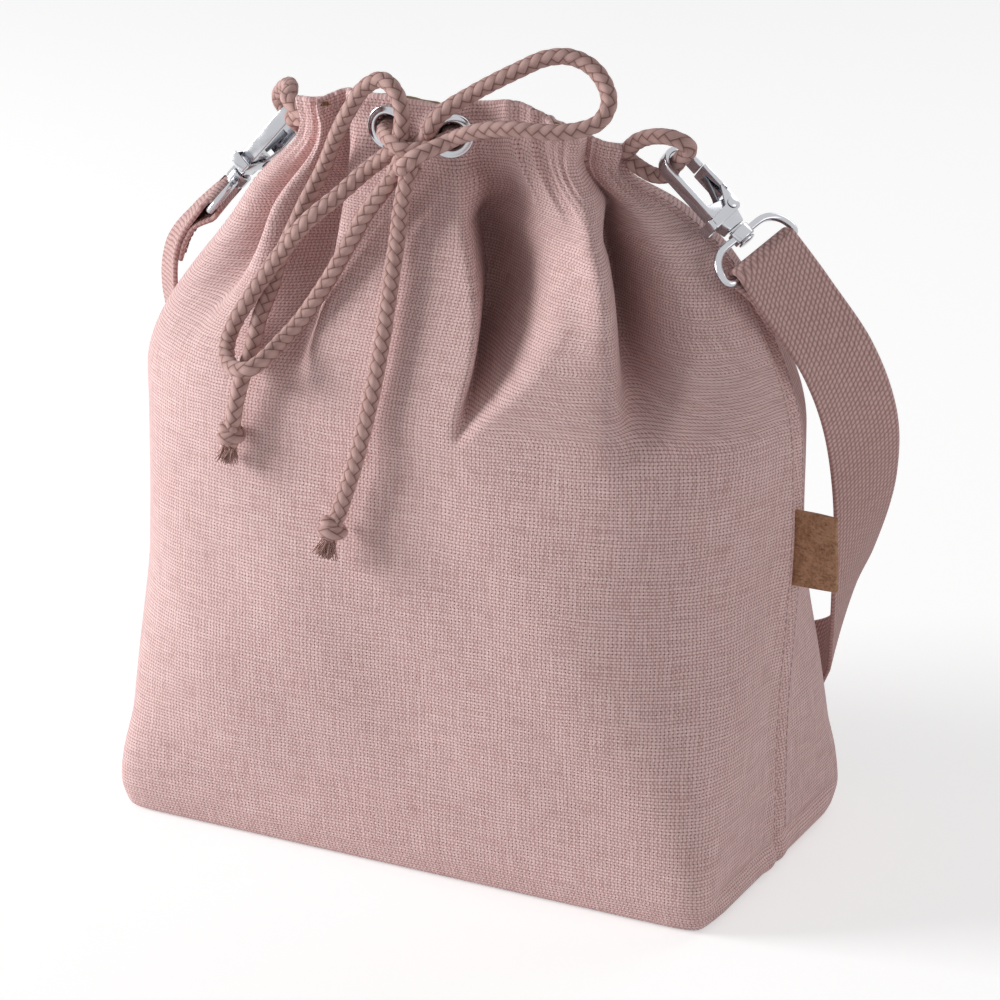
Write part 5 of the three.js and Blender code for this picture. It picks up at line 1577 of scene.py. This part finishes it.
# fine top stitching along the side seams
seamStitch = {"Pitch": 0.0030, "Length": 0.0022, "Thickness": 0.00045}
seamRows = (canvasRows > 14) & (canvasRows < 252)  # between the boxed base and the hem
seamPaths = []
for face, column in ((frontFace, 4), (frontFace, -5), (backFace, 4), (backFace, -5)):
    outward = np.array([np.sign(face[0, column, 0]) * 0.15, 0, 0])
    seamPaths.append(face[seamRows, column] + outward)
fit(grown("sideSeamStitches", "stitch", seamStitch, "seamThread", seamPaths), "bag", "canvas")
print("strap and stitches made")


# floor, light and backdrop
studio = {
    "floor": 5.0,
    "floorHeight": -0.0003,
    "floorTone": 0.95,
    "glow": 2.1,
    "glowShare": 0.23,
    "world": 0.3,
    "aim": (0.0, 0.0, 0.13),
    "lamps": (  # name, power, size, place
        ("keyLight", 43.0, 0.9, (-1.87, -0.84, 0.74)),
        ("fillLight", 6.0, 1.2, (1.9, -0.25, 0.75)),
        ("rimLight", 6.0, 1.0, (0.6, 1.6, 1.5)),
    ),
}
white = (1.0, 1.0, 1.0, 1.0)


def seenRays(bench):  # 1 for rays from the camera, mirrored or let through
    seen = bench.node("ShaderNodeLightPath")
    rays = bench.math("MAXIMUM", seen.out("Is Camera Ray"), seen.out("Is Glossy Ray"))
    return bench.math("MAXIMUM", rays, seen.out("Is Transmission Ray"))


def addFloor():
    mesh = bpy.data.meshes.new("floor")
    r, z = studio["floor"], studio["floorHeight"]
    mesh.from_pydata([(-r, -r, z), (r, -r, z), (r, r, z), (-r, r, z)], [], [(0, 1, 2, 3)])
    floor = bpy.data.objects.new("floor", mesh)
    scene.collection.objects.link(floor)
    look = Look("paleFloor")
    tone = studio["floorTone"]
    matte = look.node("ShaderNodeBsdfDiffuse", None, {"Color": (tone, tone, tone, 1.0)})
    glow = look.node("ShaderNodeEmission", None, {"Color": white, "Strength": studio["glow"]})
    shade = look.node("ShaderNodeMixShader", None, {0: seenRays(look) * studio["glowShare"], 1: matte, 2: glow})
    look.node("ShaderNodeOutputMaterial", None, {"Surface": shade})
    mesh.materials.append(look.material)


def addStage():
    addFloor()
    world = bpy.data.worlds.new("studioWorld")
    scene.world = world
    world.use_nodes = True
    bench = NodeBench(world.node_tree)
    world.node_tree.nodes.clear()
    sky = bench.node("ShaderNodeBackground", None, {"Color": white, "Strength": studio["world"]})
    backdrop = bench.node("ShaderNodeBackground", None, {"Color": white, "Strength": 1.0})
    both = bench.node("ShaderNodeMixShader", None, {0: seenRays(bench), 1: sky, 2: backdrop})
    bench.node("ShaderNodeOutputWorld", None, {"Surface": both})
    for name, power, size, place in studio["lamps"]:
        data = bpy.data.lights.new(name, "AREA")
        data.energy, data.size = power, size
        lamp = bpy.data.objects.new(name, data)
        lamp.location = place
        lamp.rotation_euler = (Vector(studio["aim"]) - Vector(place)).to_track_quat("-Z", "Y").to_euler()
        scene.collection.objects.link(lamp)


addStage()
print("stage set")
